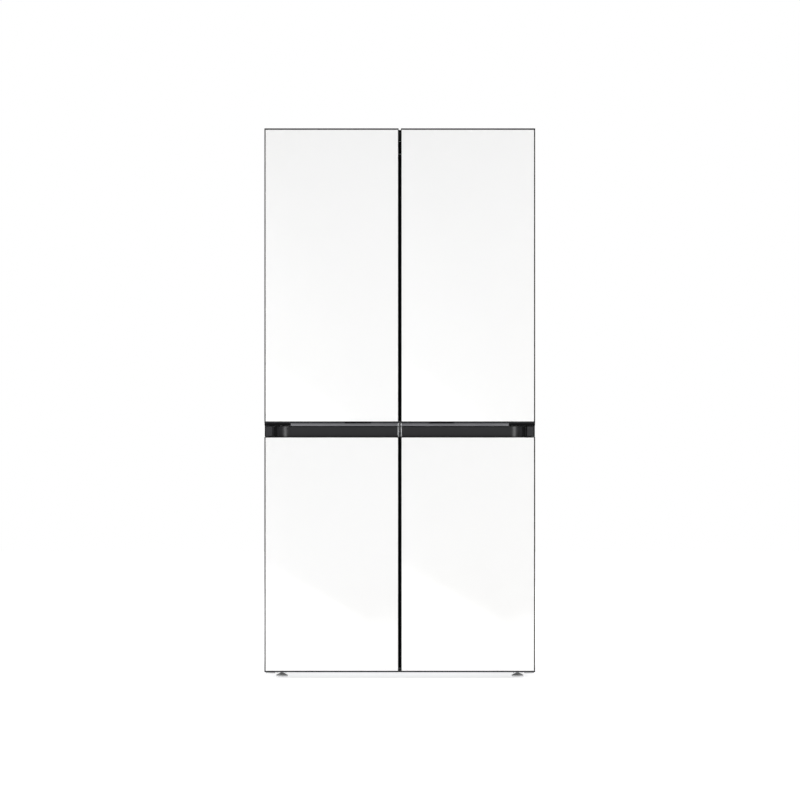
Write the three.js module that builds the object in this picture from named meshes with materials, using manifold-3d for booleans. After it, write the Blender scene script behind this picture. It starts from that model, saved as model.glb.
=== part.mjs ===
// French door refrigerator with four flat glass doors.
// Millimetres. +Z is up, the doors face -Y, and +X is to the right of a person facing them.
// The origin is on the floor, under the middle of the whole appliance.

import * as THREE from 'three';
import { mergeVertices } from 'three/addons/utils/BufferGeometryUtils.js';
import Module from 'manifold-3d';

const wasm = await Module();
wasm.setup();

// ---------------------------------------------------------------- driving dimensions

const CLEAR = 0.3; // gap between two pieces that touch
const BEYOND = 20; // how far a cutting tool runs past the face that it opens

// The whole appliance
const WIDTH = 912;
const DEPTH = 716;
const HEIGHT = 1853;
const FRONT = -DEPTH / 2;
const REAR = DEPTH / 2;

// The doors. |x| runs outwards from the middle of the appliance on both sides.
const DOOR_INNER = 4;
const DOOR_OUTER = WIDTH / 2;
const DOOR_BOTTOM = 21;
const BAND_BOTTOM = 813; // top edge of the lower glass
const BAND_TOP = 865; // bottom edge of the upper glass
const LIP_TOP = 849; // top of the lower doors' handle wall
const UPPER_BOTTOM = 852; // underside of the upper doors
const FRAME_FRONT = FRONT + 1;
const SKIN_BACK = FRONT + 8; // back of the front skin that holds the glass
const DOOR_BACK = FRONT + 56;
const RIM = 3; // visible frame beside the glass
const RIM_INNER = 1.2; // the same beside the gap between two doors
const RIM_TOP = 4;
const GLASS_THICK = 4;
const CAP_TOP = HEIGHT - 7; // top cap of an upper door, behind its glass

// Hinge axis of every door, and the corner pieces round it
const AXIS_X = 438;
const AXIS_Y = -338;
const PIN_R = 4;
const PIN_HOLE_R = 4.6;
const KNUCKLE_CLEAR_R = 17.5; // the turning doors stay this far from a mid hinge's front
const ARM = { x: AXIS_X - 25, half: 8, thick: 4 }; // a top hinge's arm on the cabinet
const HINGE_NOTCH = 398; // |x| where the upper doors' notch for the top hinge starts
const NOTCH_FLOOR = 1812;

// Finger pockets
const POCKET_DEPTH = 23;
const UPPER_POCKET_BACK = -318;
const LIP_FRONT = -328; // face of the lower doors' handle wall
const LIP_FLAT = 367; // |x| where that wall starts to curve forwards
const LIP_RADIUS = 48;
const LIP_TURN = Math.PI / 4; // the wall turns this far, and then runs straight to the front
const GRIP_END = 367;

// The cabinet
const SIDE = 454;
const CAB_FRONT = -294;
const CAB_TOP = 1815;
const CAB_BOTTOM = 30;
const SHEET = 1.2;
const BACK_PANEL_Y = 350;
const FLOOR_PLATE = 58; // underside of the cabinet's floor plate
const TOP_FIELD = { side: 400, front: -190, back: 330 }; // raised panel of the top sheet
const MACHINE_FRONT = 108;
const MACHINE_TOP = 303;

// The compartments, by their inside faces
const LINER = 2;
const ROOM_SIDE = 411;
const DIVIDER = 30;
const ROOM_BACK = 285;
const LOW_ROOM_BACK = 60; // in front of the machine compartment
const LOW_STEP_TOP = 352;
const FRIDGE = { low: 872, high: 1770 };
const LOWER = { low: 64, high: 806 };

// Door liners, gaskets and bins
const GASKET_WIDE = 14;
const GASKET_INNER = 12;
const GASKET_OUTER = 426;
const GASKET_BACK = CAB_FRONT - CLEAR;
const DYKE_INNER = 50;
const DYKE_OUTER = 393;
const DYKE_BACK = -264;
const DYKE_THICK = 14;
const PLATE_BACK = DOOR_BACK + 2.8;
const BIN_BACK = -186;
const LOWER_BIN_BACK = -218;

// Drawers and shelves
const DRAWER_FRONT = -165;
const DRAWER_OUTER = 371; // clear of a door that stands open
const DRAWER_REAR = 250;
const DRAWER_INNER = DIVIDER + 12;
const DIP = { half: 65, deep: 28 }; // the hand's dip in a drawer's front wall
const SHELF_REAR = 256;
const WALL = 3;
const CRISPER_INNER = 33; // clear of the folding mullion when only the right door is open

// The folding mullion on the upper left door
const FLIPPER = { x: -40, y: -286, half: 8, reach: 28, low: 885, high: 1757, pin: 3, bore: 3.4 };
const GUIDE = { half: 30, back: -262 }; // the guide over the mullion, and the sill under it
const STUD = { x: 0, r: 3, tall: 5 }; // runs in the guide's slot

// Under the cabinet
const RAIL = { inner: 384, outer: 416, front: -290, back: 345, low: 14, high: 57, plate: 3 };
const ROLLER = { x: 400, y: 300, r: 22, half: 11 };
const FOOT = { x: 400, y: -262, r: 20, stud: 5, top: 50 };
const PLATFORM = { low: 30, high: 33 };
const GRILLE = { half: 380, front: -293.5, back: -289.5, low: 16, high: 29.5, slots: 18, pitch: 40 };

// The cooling machine
const FAN = { x: -22, y: 228, z: 150, tip: 72, blades: 5, shaft: 3, bore: 3.5 };
const COIL = { left: -400, right: -120, y: 180, low: 62, pitch: 30, passes: 7, r: 4 };
const SHELL = { x: 240, y: 228 }; // axis of the compressor
const LOUVRES = { rows: 8, low: 70, pitch: 26, tall: 7, inner: 60, outer: 380 };

// ---------------------------------------------------------------- materials

const finish = (color, roughness, metalness) =>
  new THREE.MeshStandardMaterial({ color, roughness, metalness });

const LOOKS = {
  glass: () => finish(0xfafaf9, 0.08, 0),
  frame: () => finish(0x33333a, 0.45, 0.2),
  grip: () => finish(0x77777f, 0.35, 0.8),
  white: () => finish(0xf0f1f2, 0.35, 0),
  rubber: () => finish(0xd8d9da, 0.8, 0),
  sheet: () => finish(0x9fa2a6, 0.45, 0.4),
  dark: () => finish(0x2b2b2f, 0.6, 0),
  clear: () => finish(0xe6eef2, 0.1, 0),
  steel: () => finish(0xb6b8ba, 0.4, 0.9),
  black: () => finish(0x16161a, 0.5, 0.1),
  foam: () => finish(0xe5d9a6, 0.9, 0),
  copper: () => finish(0xb06a3c, 0.35, 0.9),
};

// ---------------------------------------------------------------- shapes

/** A box between two values on each axis, given in either order. */
function box([xa, xb], [ya, yb], [za, zb]) {
  const shape = new THREE.BoxGeometry(Math.abs(xb - xa), Math.abs(yb - ya), Math.abs(zb - za));
  return shape.translate((xa + xb) / 2, (ya + yb) / 2, (za + zb) / 2);
}

/** Two |x| values as X on one side of the appliance, -1 for the left. */
const across = (side, inner, outer) => [side * inner, side * outer];

/** An outline in X and Y, drawn up from one height to another. */
function prism(outline, [low, high]) {
  const shape = new THREE.Shape(outline.map(([x, y]) => new THREE.Vector2(x, y)));
  const options = { depth: high - low, bevelEnabled: false };
  return new THREE.ExtrudeGeometry(shape, options).translate(0, 0, low);
}

/** An upright round bar. */
function post(x, y, radius, [low, high], sides = 20) {
  const shape = new THREE.CylinderGeometry(radius, radius, high - low, sides);
  return shape.rotateX(Math.PI / 2).translate(x, y, (low + high) / 2);
}

/** A round bar along X. */
function bar([xa, xb], y, z, radius, sides = 20) {
  const shape = new THREE.CylinderGeometry(radius, radius, Math.abs(xb - xa), sides);
  return shape.rotateZ(Math.PI / 2).translate((xa + xb) / 2, y, z);
}

/** A turned piece about an upright axis, from [radius, height] points. */
function turned(profile, sides = 24) {
  const points = profile.map(([r, z]) => new THREE.Vector2(r, z));
  return new THREE.LatheGeometry(points, sides).rotateX(Math.PI / 2);
}

function toSolid(geometry) {
  const bare = geometry.clone();
  bare.deleteAttribute('normal');
  bare.deleteAttribute('uv');
  const merged = mergeVertices(bare, 1e-3);
  return new wasm.Manifold(new wasm.Mesh({
    numProp: 3,
    vertProperties: Float32Array.from(merged.attributes.position.array),
    triVerts: Uint32Array.from(merged.index.array),
  }));
}

function toGeometry(solid) {
  const mesh = solid.getMesh();
  const geometry = new THREE.BufferGeometry();
  geometry.setAttribute('position', new THREE.BufferAttribute(mesh.vertProperties, 3));
  geometry.setIndex(new THREE.BufferAttribute(mesh.triVerts, 1));
  geometry.computeVertexNormals();
  return geometry;
}

/** All the pieces joined into one. */
const join = (first, ...rest) =>
  toGeometry(rest.reduce((sum, piece) => sum.add(toSolid(piece)), toSolid(first)));

/** The first piece with the others cut away. */
const cut = (first, ...tools) =>
  toGeometry(tools.reduce((left, tool) => left.subtract(toSolid(tool)), toSolid(first)));

/** A rectangular ring seen from the front, with its bar's width. */
function ring([xa, xb], y, [za, zb], wide) {
  const [low, high] = [Math.min(xa, xb), Math.max(xa, xb)];
  const hole = box([low + wide, high - wide], [y[0] - BEYOND, y[1] + BEYOND], [za + wide, zb - wide]);
  return cut(box([low, high], y, [za, zb]), hole);
}

/** An open-topped tray with walls of one thickness. */
function tray([xa, xb], [ya, yb], [za, zb], wall = WALL) {
  const [low, high] = [Math.min(xa, xb), Math.max(xa, xb)];
  const inside = box([low + wall, high - wall], [ya + wall, yb - wall], [za + wall, zb + BEYOND]);
  return cut(box([low, high], [ya, yb], [za, zb]), inside);
}

// ---------------------------------------------------------------- scene graph

const refrigerator = new THREE.Group();
refrigerator.name = 'french_door_refrigerator';

/** A group whose own origin is a pivot or reference point. */
function groupAt(parent, x, y, z) {
  const group = new THREE.Group();
  group.position.set(x, y, z);
  parent.add(group);
  return group;
}

/** Adds a piece, drawn in the appliance's frame, to a group that stands in that frame. */
function add(group, name, geometry, look) {
  const { x, y, z } = group.position;
  const mesh = new THREE.Mesh(geometry.translate(-x, -y, -z), LOOKS[look]());
  mesh.name = name;
  group.add(mesh);
}

const cabinet = groupAt(refrigerator, 0, 0, 0);

// ---------------------------------------------------------------- cabinet

/** The liner's outer box, grown by some clearance, with the machine compartment's step. */
function roomSolid(x, z, stepped, grow, front) {
  const [low, high] = [Math.min(...x) - grow, Math.max(...x) + grow];
  const tall = box([low, high], [front, ROOM_BACK + grow], [z.low - grow, z.high + grow]);
  if (!stepped) return tall;
  const step = box(
    [low - BEYOND, high + BEYOND],
    [LOW_ROOM_BACK + grow, ROOM_BACK + BEYOND],
    [z.low - BEYOND, LOW_STEP_TOP - grow],
  );
  return cut(tall, step);
}

const ROOMS = [
  { name: 'fridge', x: [-ROOM_SIDE, ROOM_SIDE], z: FRIDGE, stepped: false },
  { name: 'freezer', x: [-ROOM_SIDE, -DIVIDER], z: LOWER, stepped: true },
  { name: 'flex', x: [DIVIDER, ROOM_SIDE], z: LOWER, stepped: true },
];

function outerShell() {
  const outside = box([-SIDE, SIDE], [CAB_FRONT, REAR], [CAB_BOTTOM, CAB_TOP]);
  const inside = box(
    [-SIDE + SHEET, SIDE - SHEET],
    [CAB_FRONT + SHEET, REAR + BEYOND],
    [CAB_BOTTOM - BEYOND, CAB_TOP - SHEET],
  );
  const mouths = ROOMS.map(({ x, z }) => roomSolid(x, z, false, LINER + CLEAR, CAB_FRONT - BEYOND));
  const floor = box(
    [-SIDE, SIDE],
    [CAB_FRONT, MACHINE_FRONT],
    [FLOOR_PLATE, FLOOR_PLATE + SHEET],
  );
  const field = box(
    [-TOP_FIELD.side, TOP_FIELD.side],
    [TOP_FIELD.front, TOP_FIELD.back],
    [CAB_TOP - SHEET / 2, CAB_TOP + SHEET],
  );
  return join(cut(outside, inside, ...mouths), floor, field);
}

function insulation() {
  const side = SIDE - SHEET - CLEAR;
  const block = box(
    [-side, side],
    [CAB_FRONT + SHEET + CLEAR, BACK_PANEL_Y - CLEAR],
    [FLOOR_PLATE + SHEET + CLEAR, CAB_TOP - SHEET - CLEAR],
  );
  const machine = box(
    [-SIDE, SIDE],
    [MACHINE_FRONT, REAR + BEYOND],
    [0, MACHINE_TOP + CLEAR],
  );
  const rooms = ROOMS.map(({ x, z, stepped }) =>
    roomSolid(x, z, stepped, LINER + CLEAR, CAB_FRONT - BEYOND));
  return cut(block, machine, ...rooms);
}

const RUNNER = { tall: 12, bite: 4 }; // a drawer's flange lies on this much of its runner

/** Drawer runners: one on the hinge side of a lower room and one on the divider. */
function runners(side, z) {
  const height = [z - RUNNER.tall, z];
  const back = z > LOW_STEP_TOP ? ROOM_BACK : LOW_ROOM_BACK;
  const y = [DRAWER_FRONT + 5, back + 1];
  return [
    box(across(side, DRAWER_OUTER - RUNNER.bite, ROOM_SIDE + 1), y, height),
    box(across(side, DIVIDER - 1, DRAWER_INNER + RUNNER.bite + 1), y, height),
  ];
}

const SHELF_HEIGHTS = { shelf_upper: 1462, shelf_lower: 1250, crisper_cover: 1052 };
const SHELF_THICK = 6;
const NOSE = { deep: 6, under: 6, over: 3 }; // a shelf's front edge
const LEDGE = { wide: 7, tall: 8 };
const DRAWER_ROWS = [
  { row: 'lower', low: 84, high: 330, rear: 48 },
  { row: 'upper', low: 372, high: 720, rear: DRAWER_REAR },
];
const FLANGE = 6; // thickness of a drawer's flange, which slides on the runners

function roomLiner({ x, z, stepped }) {
  const hollow = roomSolid(x, z, stepped, 0, CAB_FRONT - BEYOND);
  const shell = cut(roomSolid(x, z, stepped, LINER, CAB_FRONT), hollow);
  if (!stepped) {
    const ledges = Object.values(SHELF_HEIGHTS).flatMap((height) => [-1, 1].map((side) =>
      box(across(side, ROOM_SIDE - LEDGE.wide, ROOM_SIDE + 1), [DRAWER_FRONT + 10, SHELF_REAR],
        [height - LEDGE.tall, height - CLEAR])));
    const sill = box([-GUIDE.half, GUIDE.half], [CAB_FRONT, GUIDE.back], [z.low - 1, FLIPPER.low - 1]);
    return join(shell, ...ledges, sill);
  }
  const side = Math.sign(x[0] + x[1]);
  const rails = DRAWER_ROWS.flatMap(({ high }) => runners(side, high - FLANGE - CLEAR));
  return join(shell, ...rails);
}

/** The rails, foot bosses and crossbar, and the floor, front wall and roof round the machine. */
function baseFrame() {
  const plate = 1.5;
  const pan = SIDE - SHEET - CLEAR;
  const front = MACHINE_FRONT + CLEAR;
  const wall = box([-pan, pan], [front, front + plate], [PLATFORM.low, MACHINE_TOP]);
  const roof = box([-pan, pan], [front, BACK_PANEL_Y - CLEAR], [MACHINE_TOP - plate, MACHINE_TOP]);
  const platform = box([-pan, pan], [front, RAIL.back], [PLATFORM.low, PLATFORM.high]);
  const crossbar = box([-RAIL.inner - 1, RAIL.inner + 1], [RAIL.front, RAIL.front + 28],
    [PLATFORM.low + 10, RAIL.high]);
  const rails = [-1, 1].flatMap((side) => {
    const channel = box(across(side, RAIL.inner, RAIL.outer), [RAIL.front, RAIL.back], [RAIL.low, RAIL.high]);
    const hollow = box(
      across(side, RAIL.inner + RAIL.plate, RAIL.outer - RAIL.plate),
      [RAIL.front - BEYOND, RAIL.back + BEYOND],
      [RAIL.low - BEYOND, RAIL.high - RAIL.plate],
    );
    const boss = box(across(side, RAIL.inner + 1, RAIL.outer - 1), [FOOT.y - 14, FOOT.y + 14],
      [RAIL.low + 10, RAIL.high - 1]);
    return [cut(channel, hollow), boss];
  });
  const openings = [-1, 1].flatMap((side) => [
    box(across(side, RAIL.inner + RAIL.plate, RAIL.outer - RAIL.plate),
      [ROLLER.y - ROLLER.r - 5, ROLLER.y + ROLLER.r + 5], [0, RAIL.high - 5]),
    bar(across(side, RAIL.inner - 4, RAIL.outer + 4), ROLLER.y, ROLLER.r, PIN_HOLE_R),
    post(side * FOOT.x, FOOT.y, FOOT.stud + 0.4, [0, FOOT.top + 2]),
  ]);
  return cut(join(wall, roof, platform, crossbar, ...rails), ...openings);
}

/** A full-width cover over the top hinges, open underneath, with slots for their arms. */
function topFrontCover() {
  const half = SIDE - 2;
  const wall = 2.5;
  const y = [CAB_FRONT - 2, CAB_FRONT + 84];
  const z = [CAB_TOP + CLEAR, CAP_TOP];
  const inside = box([-half + wall, half - wall], [y[0] + wall, y[1] - wall], [z[0] - BEYOND, z[1] - wall]);
  const slots = [-1, 1].map((side) =>
    box(across(side, ARM.x - ARM.half - 4, ARM.x + ARM.half + 4), [y[0] - BEYOND, y[0] + BEYOND],
      [z[0] - BEYOND, CAB_TOP + 2 * ARM.thick]));
  return cut(box([-half, half], y, z), inside, ...slots);
}

function toeGrille() {
  const { half, front, back, low, high, slots: count, pitch } = GRILLE;
  const plate = box([-half, half], [front, back], [low, high]);
  const lip = box([-half, half], [back - 1, back + 8], [high - 2.5, high]);
  const slots = Array.from({ length: count }, (_, i) => (i - (count - 1) / 2) * pitch).map((x) =>
    box([x - 15, x + 15], [front - BEYOND, back + 2], [low + 4, low + 9]));
  return cut(join(plate, lip), ...slots);
}

function backPanel() {
  const side = SIDE - SHEET - CLEAR;
  return box([-side, side], [BACK_PANEL_Y, BACK_PANEL_Y + SHEET],
    [MACHINE_TOP + CLEAR, CAB_TOP - SHEET - CLEAR]);
}

function machineCover() {
  const side = SIDE - SHEET - 1;
  const y = [BACK_PANEL_Y, BACK_PANEL_Y + 2];
  const levels = Array.from({ length: LOUVRES.rows }, (_, i) => LOUVRES.low + i * LOUVRES.pitch);
  const slots = [-1, 1].flatMap((half) => levels.map((z) =>
    box(across(half, LOUVRES.inner, LOUVRES.outer), [y[0] - BEYOND, y[1] + BEYOND], [z, z + LOUVRES.tall])));
  return cut(box([-side, side], y, [38, MACHINE_TOP]), ...slots);
}

add(cabinet, 'outer_shell', outerShell(), 'sheet');
add(cabinet, 'back_panel', backPanel(), 'steel');
add(cabinet, 'insulation_foam', insulation(), 'foam');
for (const room of ROOMS) add(cabinet, `${room.name}_liner`, roomLiner(room), 'white');
add(cabinet, 'base_frame', baseFrame(), 'steel');
add(cabinet, 'top_front_cover', topFrontCover(), 'dark');
add(cabinet, 'toe_grille', toeGrille(), 'dark');
add(cabinet, 'machine_cover', machineCover(), 'black');

// ---------------------------------------------------------------- shelves and duct

for (const [name, z] of Object.entries(SHELF_HEIGHTS)) {
  const plate = box([-ROOM_SIDE + 1, ROOM_SIDE - 1], [DRAWER_FRONT, SHELF_REAR], [z, z + SHELF_THICK]);
  const nose = box([-ROOM_SIDE + 1, ROOM_SIDE - 1], [DRAWER_FRONT, DRAWER_FRONT + NOSE.deep],
    [z - NOSE.under, z + SHELF_THICK + NOSE.over]);
  add(cabinet, name, join(plate, nose), 'clear');
}

const DUCT = { half: 120, front: SHELF_REAR + 6, low: 1075, high: 1740 };
const VENT = { half: 70, deep: 6, tall: 10, heights: [1130, 1330, 1540, 1650] };

function airDuct() {
  const panel = box([-DUCT.half, DUCT.half], [DUCT.front, ROOM_BACK - CLEAR], [DUCT.low, DUCT.high]);
  const vents = VENT.heights.map((z) =>
    box([-VENT.half, VENT.half], [DUCT.front - BEYOND, DUCT.front + VENT.deep], [z, z + VENT.tall]));
  return cut(panel, ...vents);
}
add(cabinet, 'air_duct', airDuct(), 'white');

// ---------------------------------------------------------------- cooling machine

function compressor() {
  const body = turned([[0, 46], [60, 46], [82, 66], [84, 150], [74, 186], [46, 208], [0, 214]], 28)
    .translate(SHELL.x, SHELL.y, 0);
  const cradle = box([SHELL.x - 90, SHELL.x + 90], [SHELL.y - 78, SHELL.y + 78], [42, 48]);
  const feet = [-75, 75].flatMap((x) => [-62, 62].map((y) =>
    post(SHELL.x + x, SHELL.y + y, 9, [PLATFORM.high + CLEAR, 43], 12)));
  const port = bar([SHELL.x + 70, SHELL.x + 98], SHELL.y, 120, 5, 12);
  return join(body, cradle, ...feet, port);
}

/** A serpentine tube with level passes joined by half-round bends. */
function condenser() {
  const { left, right, low, pitch, passes } = COIL;
  const path = new THREE.CurvePath();
  for (let i = 0; i < passes; i += 1) {
    const z = low + i * pitch;
    const ends = i % 2 ? [right, left] : [left, right];
    const at = (x, height) => new THREE.Vector3(x, COIL.y, height);
    path.add(new THREE.LineCurve3(at(ends[0], z), at(ends[1], z)));
    if (i === passes - 1) break;
    const out = ends[1] === right ? 1 : -1;
    const turn = Array.from({ length: 7 }, (_, k) => (k * Math.PI) / 6).map((angle) =>
      at(ends[1] + (out * Math.sin(angle) * pitch) / 2, z + ((1 - Math.cos(angle)) * pitch) / 2));
    path.add(new THREE.CatmullRomCurve3(turn));
  }
  const section = new THREE.Shape(Array.from({ length: 8 }, (_, k) => (k * Math.PI) / 4).map((angle) =>
    new THREE.Vector2(COIL.r * Math.cos(angle), COIL.r * Math.sin(angle))));
  const tube = new THREE.ExtrudeGeometry(section, { steps: 96, bevelEnabled: false, extrudePath: path });
  const stands = [left + 30, right - 20].map((x) =>
    box([x - 6, x + 6], [COIL.y - 5, COIL.y + 5], [PLATFORM.high + CLEAR, 250]));
  return join(tube, ...stands);
}

/** The fan's frame: a plate with a round hole, three spokes and the motor at its centre. */
function fanShroud() {
  const plate = cut(
    box([-10, -6], [FAN.y - 92, FAN.y + 92], [PLATFORM.high + CLEAR, FAN.z + 96]),
    bar([-30, 30], FAN.y, FAN.z, FAN.tip + 6, 36),
  );
  const motor = bar([-6, 26], FAN.y, FAN.z, 20, 24);
  const spokes = [0, 1, 2].map((i) =>
    box([-9, -3], [-3, 3], [14, FAN.tip + 10]).rotateX((i * 2 * Math.PI) / 3).translate(0, FAN.y, FAN.z));
  return cut(join(plate, motor, ...spokes), bar([-30, 8], FAN.y, FAN.z, FAN.bore, 16));
}

function fanRotor() {
  const hub = bar([-36, -12], FAN.y, FAN.z, 18, 24);
  const shaft = bar([-14, 5], FAN.y, FAN.z, FAN.shaft, 16);
  const twist = 0.95; // radians that a blade stands out of the fan's plane
  const blades = Array.from({ length: FAN.blades }, (_, i) =>
    box([-20, 20], [-1.2, 1.2], [14, FAN.tip]).rotateZ(twist).rotateX((i * 2 * Math.PI) / FAN.blades)
      .translate(FAN.x - 4, FAN.y, FAN.z));
  return join(hub, shaft, ...blades);
}

add(cabinet, 'compressor', compressor(), 'black');
add(cabinet, 'condenser', condenser(), 'copper');
add(cabinet, 'fan_shroud', fanShroud(), 'black');
add(groupAt(refrigerator, FAN.x, FAN.y, FAN.z), 'condenser_fan', fanRotor(), 'dark');

// ---------------------------------------------------------------- feet and rollers

for (const [sideName, side] of [['left', -1], ['right', 1]]) {
  const foot = turned([[0, 0], [FOOT.r, 0], [FOOT.r, 5], [8, 11], [FOOT.stud, 12],
    [FOOT.stud, FOOT.top], [0, FOOT.top]]).translate(side * FOOT.x, FOOT.y, 0);
  add(groupAt(refrigerator, side * FOOT.x, FOOT.y, 0), `front_foot_${sideName}`, foot, 'black');
  const width = across(side, ROLLER.x - ROLLER.half, ROLLER.x + ROLLER.half);
  const tread = bar(width, ROLLER.y, ROLLER.r, ROLLER.r, 28);
  const axle = bar(across(side, RAIL.inner - 1, RAIL.outer + 1), ROLLER.y, ROLLER.r, PIN_R);
  const hub = groupAt(refrigerator, side * ROLLER.x, ROLLER.y, ROLLER.r);
  add(hub, `rear_roller_${sideName}`, join(tread, axle), 'dark');
}

// ---------------------------------------------------------------- hinges

/** A cranked arm on the cabinet's top, with a pin that goes down into the upper door. */
function topHinge(side) {
  const [left, right, rear] = [ARM.x - ARM.half, ARM.x + ARM.half, CAB_FRONT + 70];
  const arm = [
    [AXIS_X + 4, AXIS_Y - 8], [AXIS_X + 8, AXIS_Y - 1], [AXIS_X + 6, AXIS_Y + 5],
    [right, AXIS_Y + 28], [right, rear], [left, rear],
    [left, AXIS_Y + 21], [AXIS_X - 6, AXIS_Y - 6],
  ].map(([x, y]) => [side * x, y]);
  const z = [CAB_TOP + CLEAR, CAB_TOP + ARM.thick + CLEAR];
  return join(prism(arm, z), post(side * AXIS_X, AXIS_Y, PIN_R, [NOTCH_FLOOR - 20, z[1]]));
}

/** The capped block between the upper and lower doors, with a pin up and a pin down. */
function middleHinge(side) {
  const block = box(across(side, AXIS_X - 9.5, AXIS_X + 13), [AXIS_Y - 8, CAB_FRONT - CLEAR],
    [BAND_BOTTOM + 2, LIP_TOP]);
  return join(block, post(side * AXIS_X, AXIS_Y, PIN_R, [BAND_BOTTOM - 18, UPPER_BOTTOM + 16]));
}

/** A foot bracket in front of the cabinet, with a pin up into the lower door. */
function bottomHinge(side) {
  const x = across(side, AXIS_X - 18, AXIS_X + 14);
  const top = DOOR_BOTTOM - CLEAR;
  const plate = box(x, [AXIS_Y - 12, CAB_FRONT - CLEAR], [top - 4, top]);
  const flange = box(x, [CAB_FRONT - 3, CAB_FRONT - CLEAR], [top - 4, CAB_BOTTOM + 7]);
  return join(plate, flange, post(side * AXIS_X, AXIS_Y, PIN_R, [top - 3, DOOR_BOTTOM + 18]));
}

for (const [sideName, side] of [['left', -1], ['right', 1]]) {
  add(cabinet, `top_hinge_${sideName}`, topHinge(side), 'steel');
  add(cabinet, `middle_hinge_${sideName}`, middleHinge(side), 'dark');
  add(cabinet, `bottom_hinge_${sideName}`, bottomHinge(side), 'steel');
}

// ---------------------------------------------------------------- doors

/** The glass, which fills the front frame but for its rim. */
function doorGlass(side, [low, high]) {
  const width = across(side, DOOR_INNER + RIM_INNER, DOOR_OUTER - RIM);
  return box(width, [FRONT, FRONT + GLASS_THICK], [low, high]);
}

/** The recess that holds the glass. */
function glassRecess(side, [low, high]) {
  return box(
    across(side, DOOR_INNER + RIM_INNER - CLEAR, DOOR_OUTER - RIM + CLEAR),
    [FRONT - BEYOND, FRONT + GLASS_THICK + CLEAR],
    [low - CLEAR, high + CLEAR],
  );
}

const pinHole = (side, z) => post(side * AXIS_X, AXIS_Y, PIN_HOLE_R, z);

const UPPER_GLASS = [BAND_TOP, HEIGHT - RIM_TOP];
const LOWER_GLASS = [DOOR_BOTTOM + RIM_TOP, BAND_BOTTOM - 0.5];

function upperBody(side) {
  const x = across(side, DOOR_INNER, DOOR_OUTER);
  const skin = box(x, [FRAME_FRONT, SKIN_BACK + 1], [BAND_TOP - RIM_TOP, HEIGHT]);
  const block = box(x, [SKIN_BACK, DOOR_BACK], [UPPER_BOTTOM, NOTCH_FLOOR]);
  const cap = box(across(side, DOOR_INNER, HINGE_NOTCH), [SKIN_BACK, DOOR_BACK], [NOTCH_FLOOR - 1, CAP_TOP]);
  const gripSeat = box(across(side, 0, GRIP_END + CLEAR), [SKIN_BACK - BEYOND, SKIN_BACK + 5],
    [UPPER_BOTTOM - BEYOND, BAND_TOP - RIM_TOP + CLEAR]);
  const pocket = box(across(side, 20, GRIP_END - 12), [SKIN_BACK + 4, UPPER_POCKET_BACK],
    [UPPER_BOTTOM - BEYOND, UPPER_BOTTOM + POCKET_DEPTH]);
  return cut(
    join(skin, block, cap),
    gripSeat,
    pocket,
    glassRecess(side, UPPER_GLASS),
    pinHole(side, [NOTCH_FLOOR - 22, NOTCH_FLOOR + BEYOND]),
    pinHole(side, [UPPER_BOTTOM - BEYOND, UPPER_BOTTOM + 18]),
  );
}

/** The metal finger strip along an upper door's lower edge. */
function doorGrip(side) {
  return box(across(side, DOOR_INNER + 0.5, GRIP_END), [SKIN_BACK + CLEAR, SKIN_BACK + 4.7],
    [UPPER_BOTTOM - 1, BAND_TOP - RIM_TOP]);
}

/** Points along the handle wall's end: an arc through LIP_TURN, then a straight run to the front. */
function lipCurve() {
  const steps = 8;
  const front = SKIN_BACK - 2;
  const arc = Array.from({ length: steps + 1 }, (_, i) => (i * LIP_TURN) / steps).map((angle) =>
    [LIP_FLAT + LIP_RADIUS * Math.sin(angle), LIP_FRONT - LIP_RADIUS * (1 - Math.cos(angle))]);
  const [x, y] = arc.at(-1);
  return [...arc, [x + (y - front) / Math.tan(LIP_TURN), front]];
}

function lowerBody(side) {
  const block = box(across(side, DOOR_INNER, DOOR_OUTER), [FRAME_FRONT, DOOR_BACK],
    [DOOR_BOTTOM, BAND_BOTTOM]);
  const lip = box(across(side, DOOR_INNER, AXIS_X - 5), [SKIN_BACK - 2, DOOR_BACK],
    [BAND_BOTTOM - 1, LIP_TOP]);
  const mirrored = (outline) => outline.map(([x, y]) => [side * x, y]);
  const reach = lipCurve();
  const pocket = prism(
    mirrored([[DOOR_INNER + 2, SKIN_BACK], [DOOR_INNER + 2, LIP_FRONT], ...reach.slice(0, -1),
      [reach.at(-2)[0], SKIN_BACK]]),
    [BAND_BOTTOM - POCKET_DEPTH, BAND_BOTTOM + 1],
  );
  const above = prism(
    mirrored([[0, FRONT - BEYOND], [0, LIP_FRONT], ...reach, [reach.at(-1)[0], FRONT - BEYOND]]),
    [BAND_BOTTOM, LIP_TOP + BEYOND],
  );
  const knuckle = post(side * AXIS_X, AXIS_Y, KNUCKLE_CLEAR_R, [BAND_BOTTOM, LIP_TOP + BEYOND], 40);
  const corner = box(across(side, AXIS_X - 12, AXIS_X), [FRONT, DOOR_BACK + BEYOND],
    [BAND_BOTTOM, LIP_TOP + BEYOND]);
  return cut(
    join(block, lip),
    pocket,
    above,
    knuckle,
    corner,
    glassRecess(side, LOWER_GLASS),
    pinHole(side, [DOOR_BOTTOM - BEYOND, DOOR_BOTTOM + 20]),
    pinHole(side, [BAND_BOTTOM - 20, BAND_BOTTOM + BEYOND]),
  );
}

/** The white inner face: a plate with a raised dyke round the bins. */
function doorLiner(side, [low, high]) {
  const plate = box(across(side, GASKET_INNER + GASKET_WIDE + 1, GASKET_OUTER - GASKET_WIDE - 1),
    [DOOR_BACK + CLEAR, PLATE_BACK], [low, high]);
  const dyke = ring(across(side, DYKE_INNER, DYKE_OUTER), [PLATE_BACK - 1, DYKE_BACK],
    [low + 18, high - 18], DYKE_THICK);
  return join(plate, dyke);
}

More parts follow.
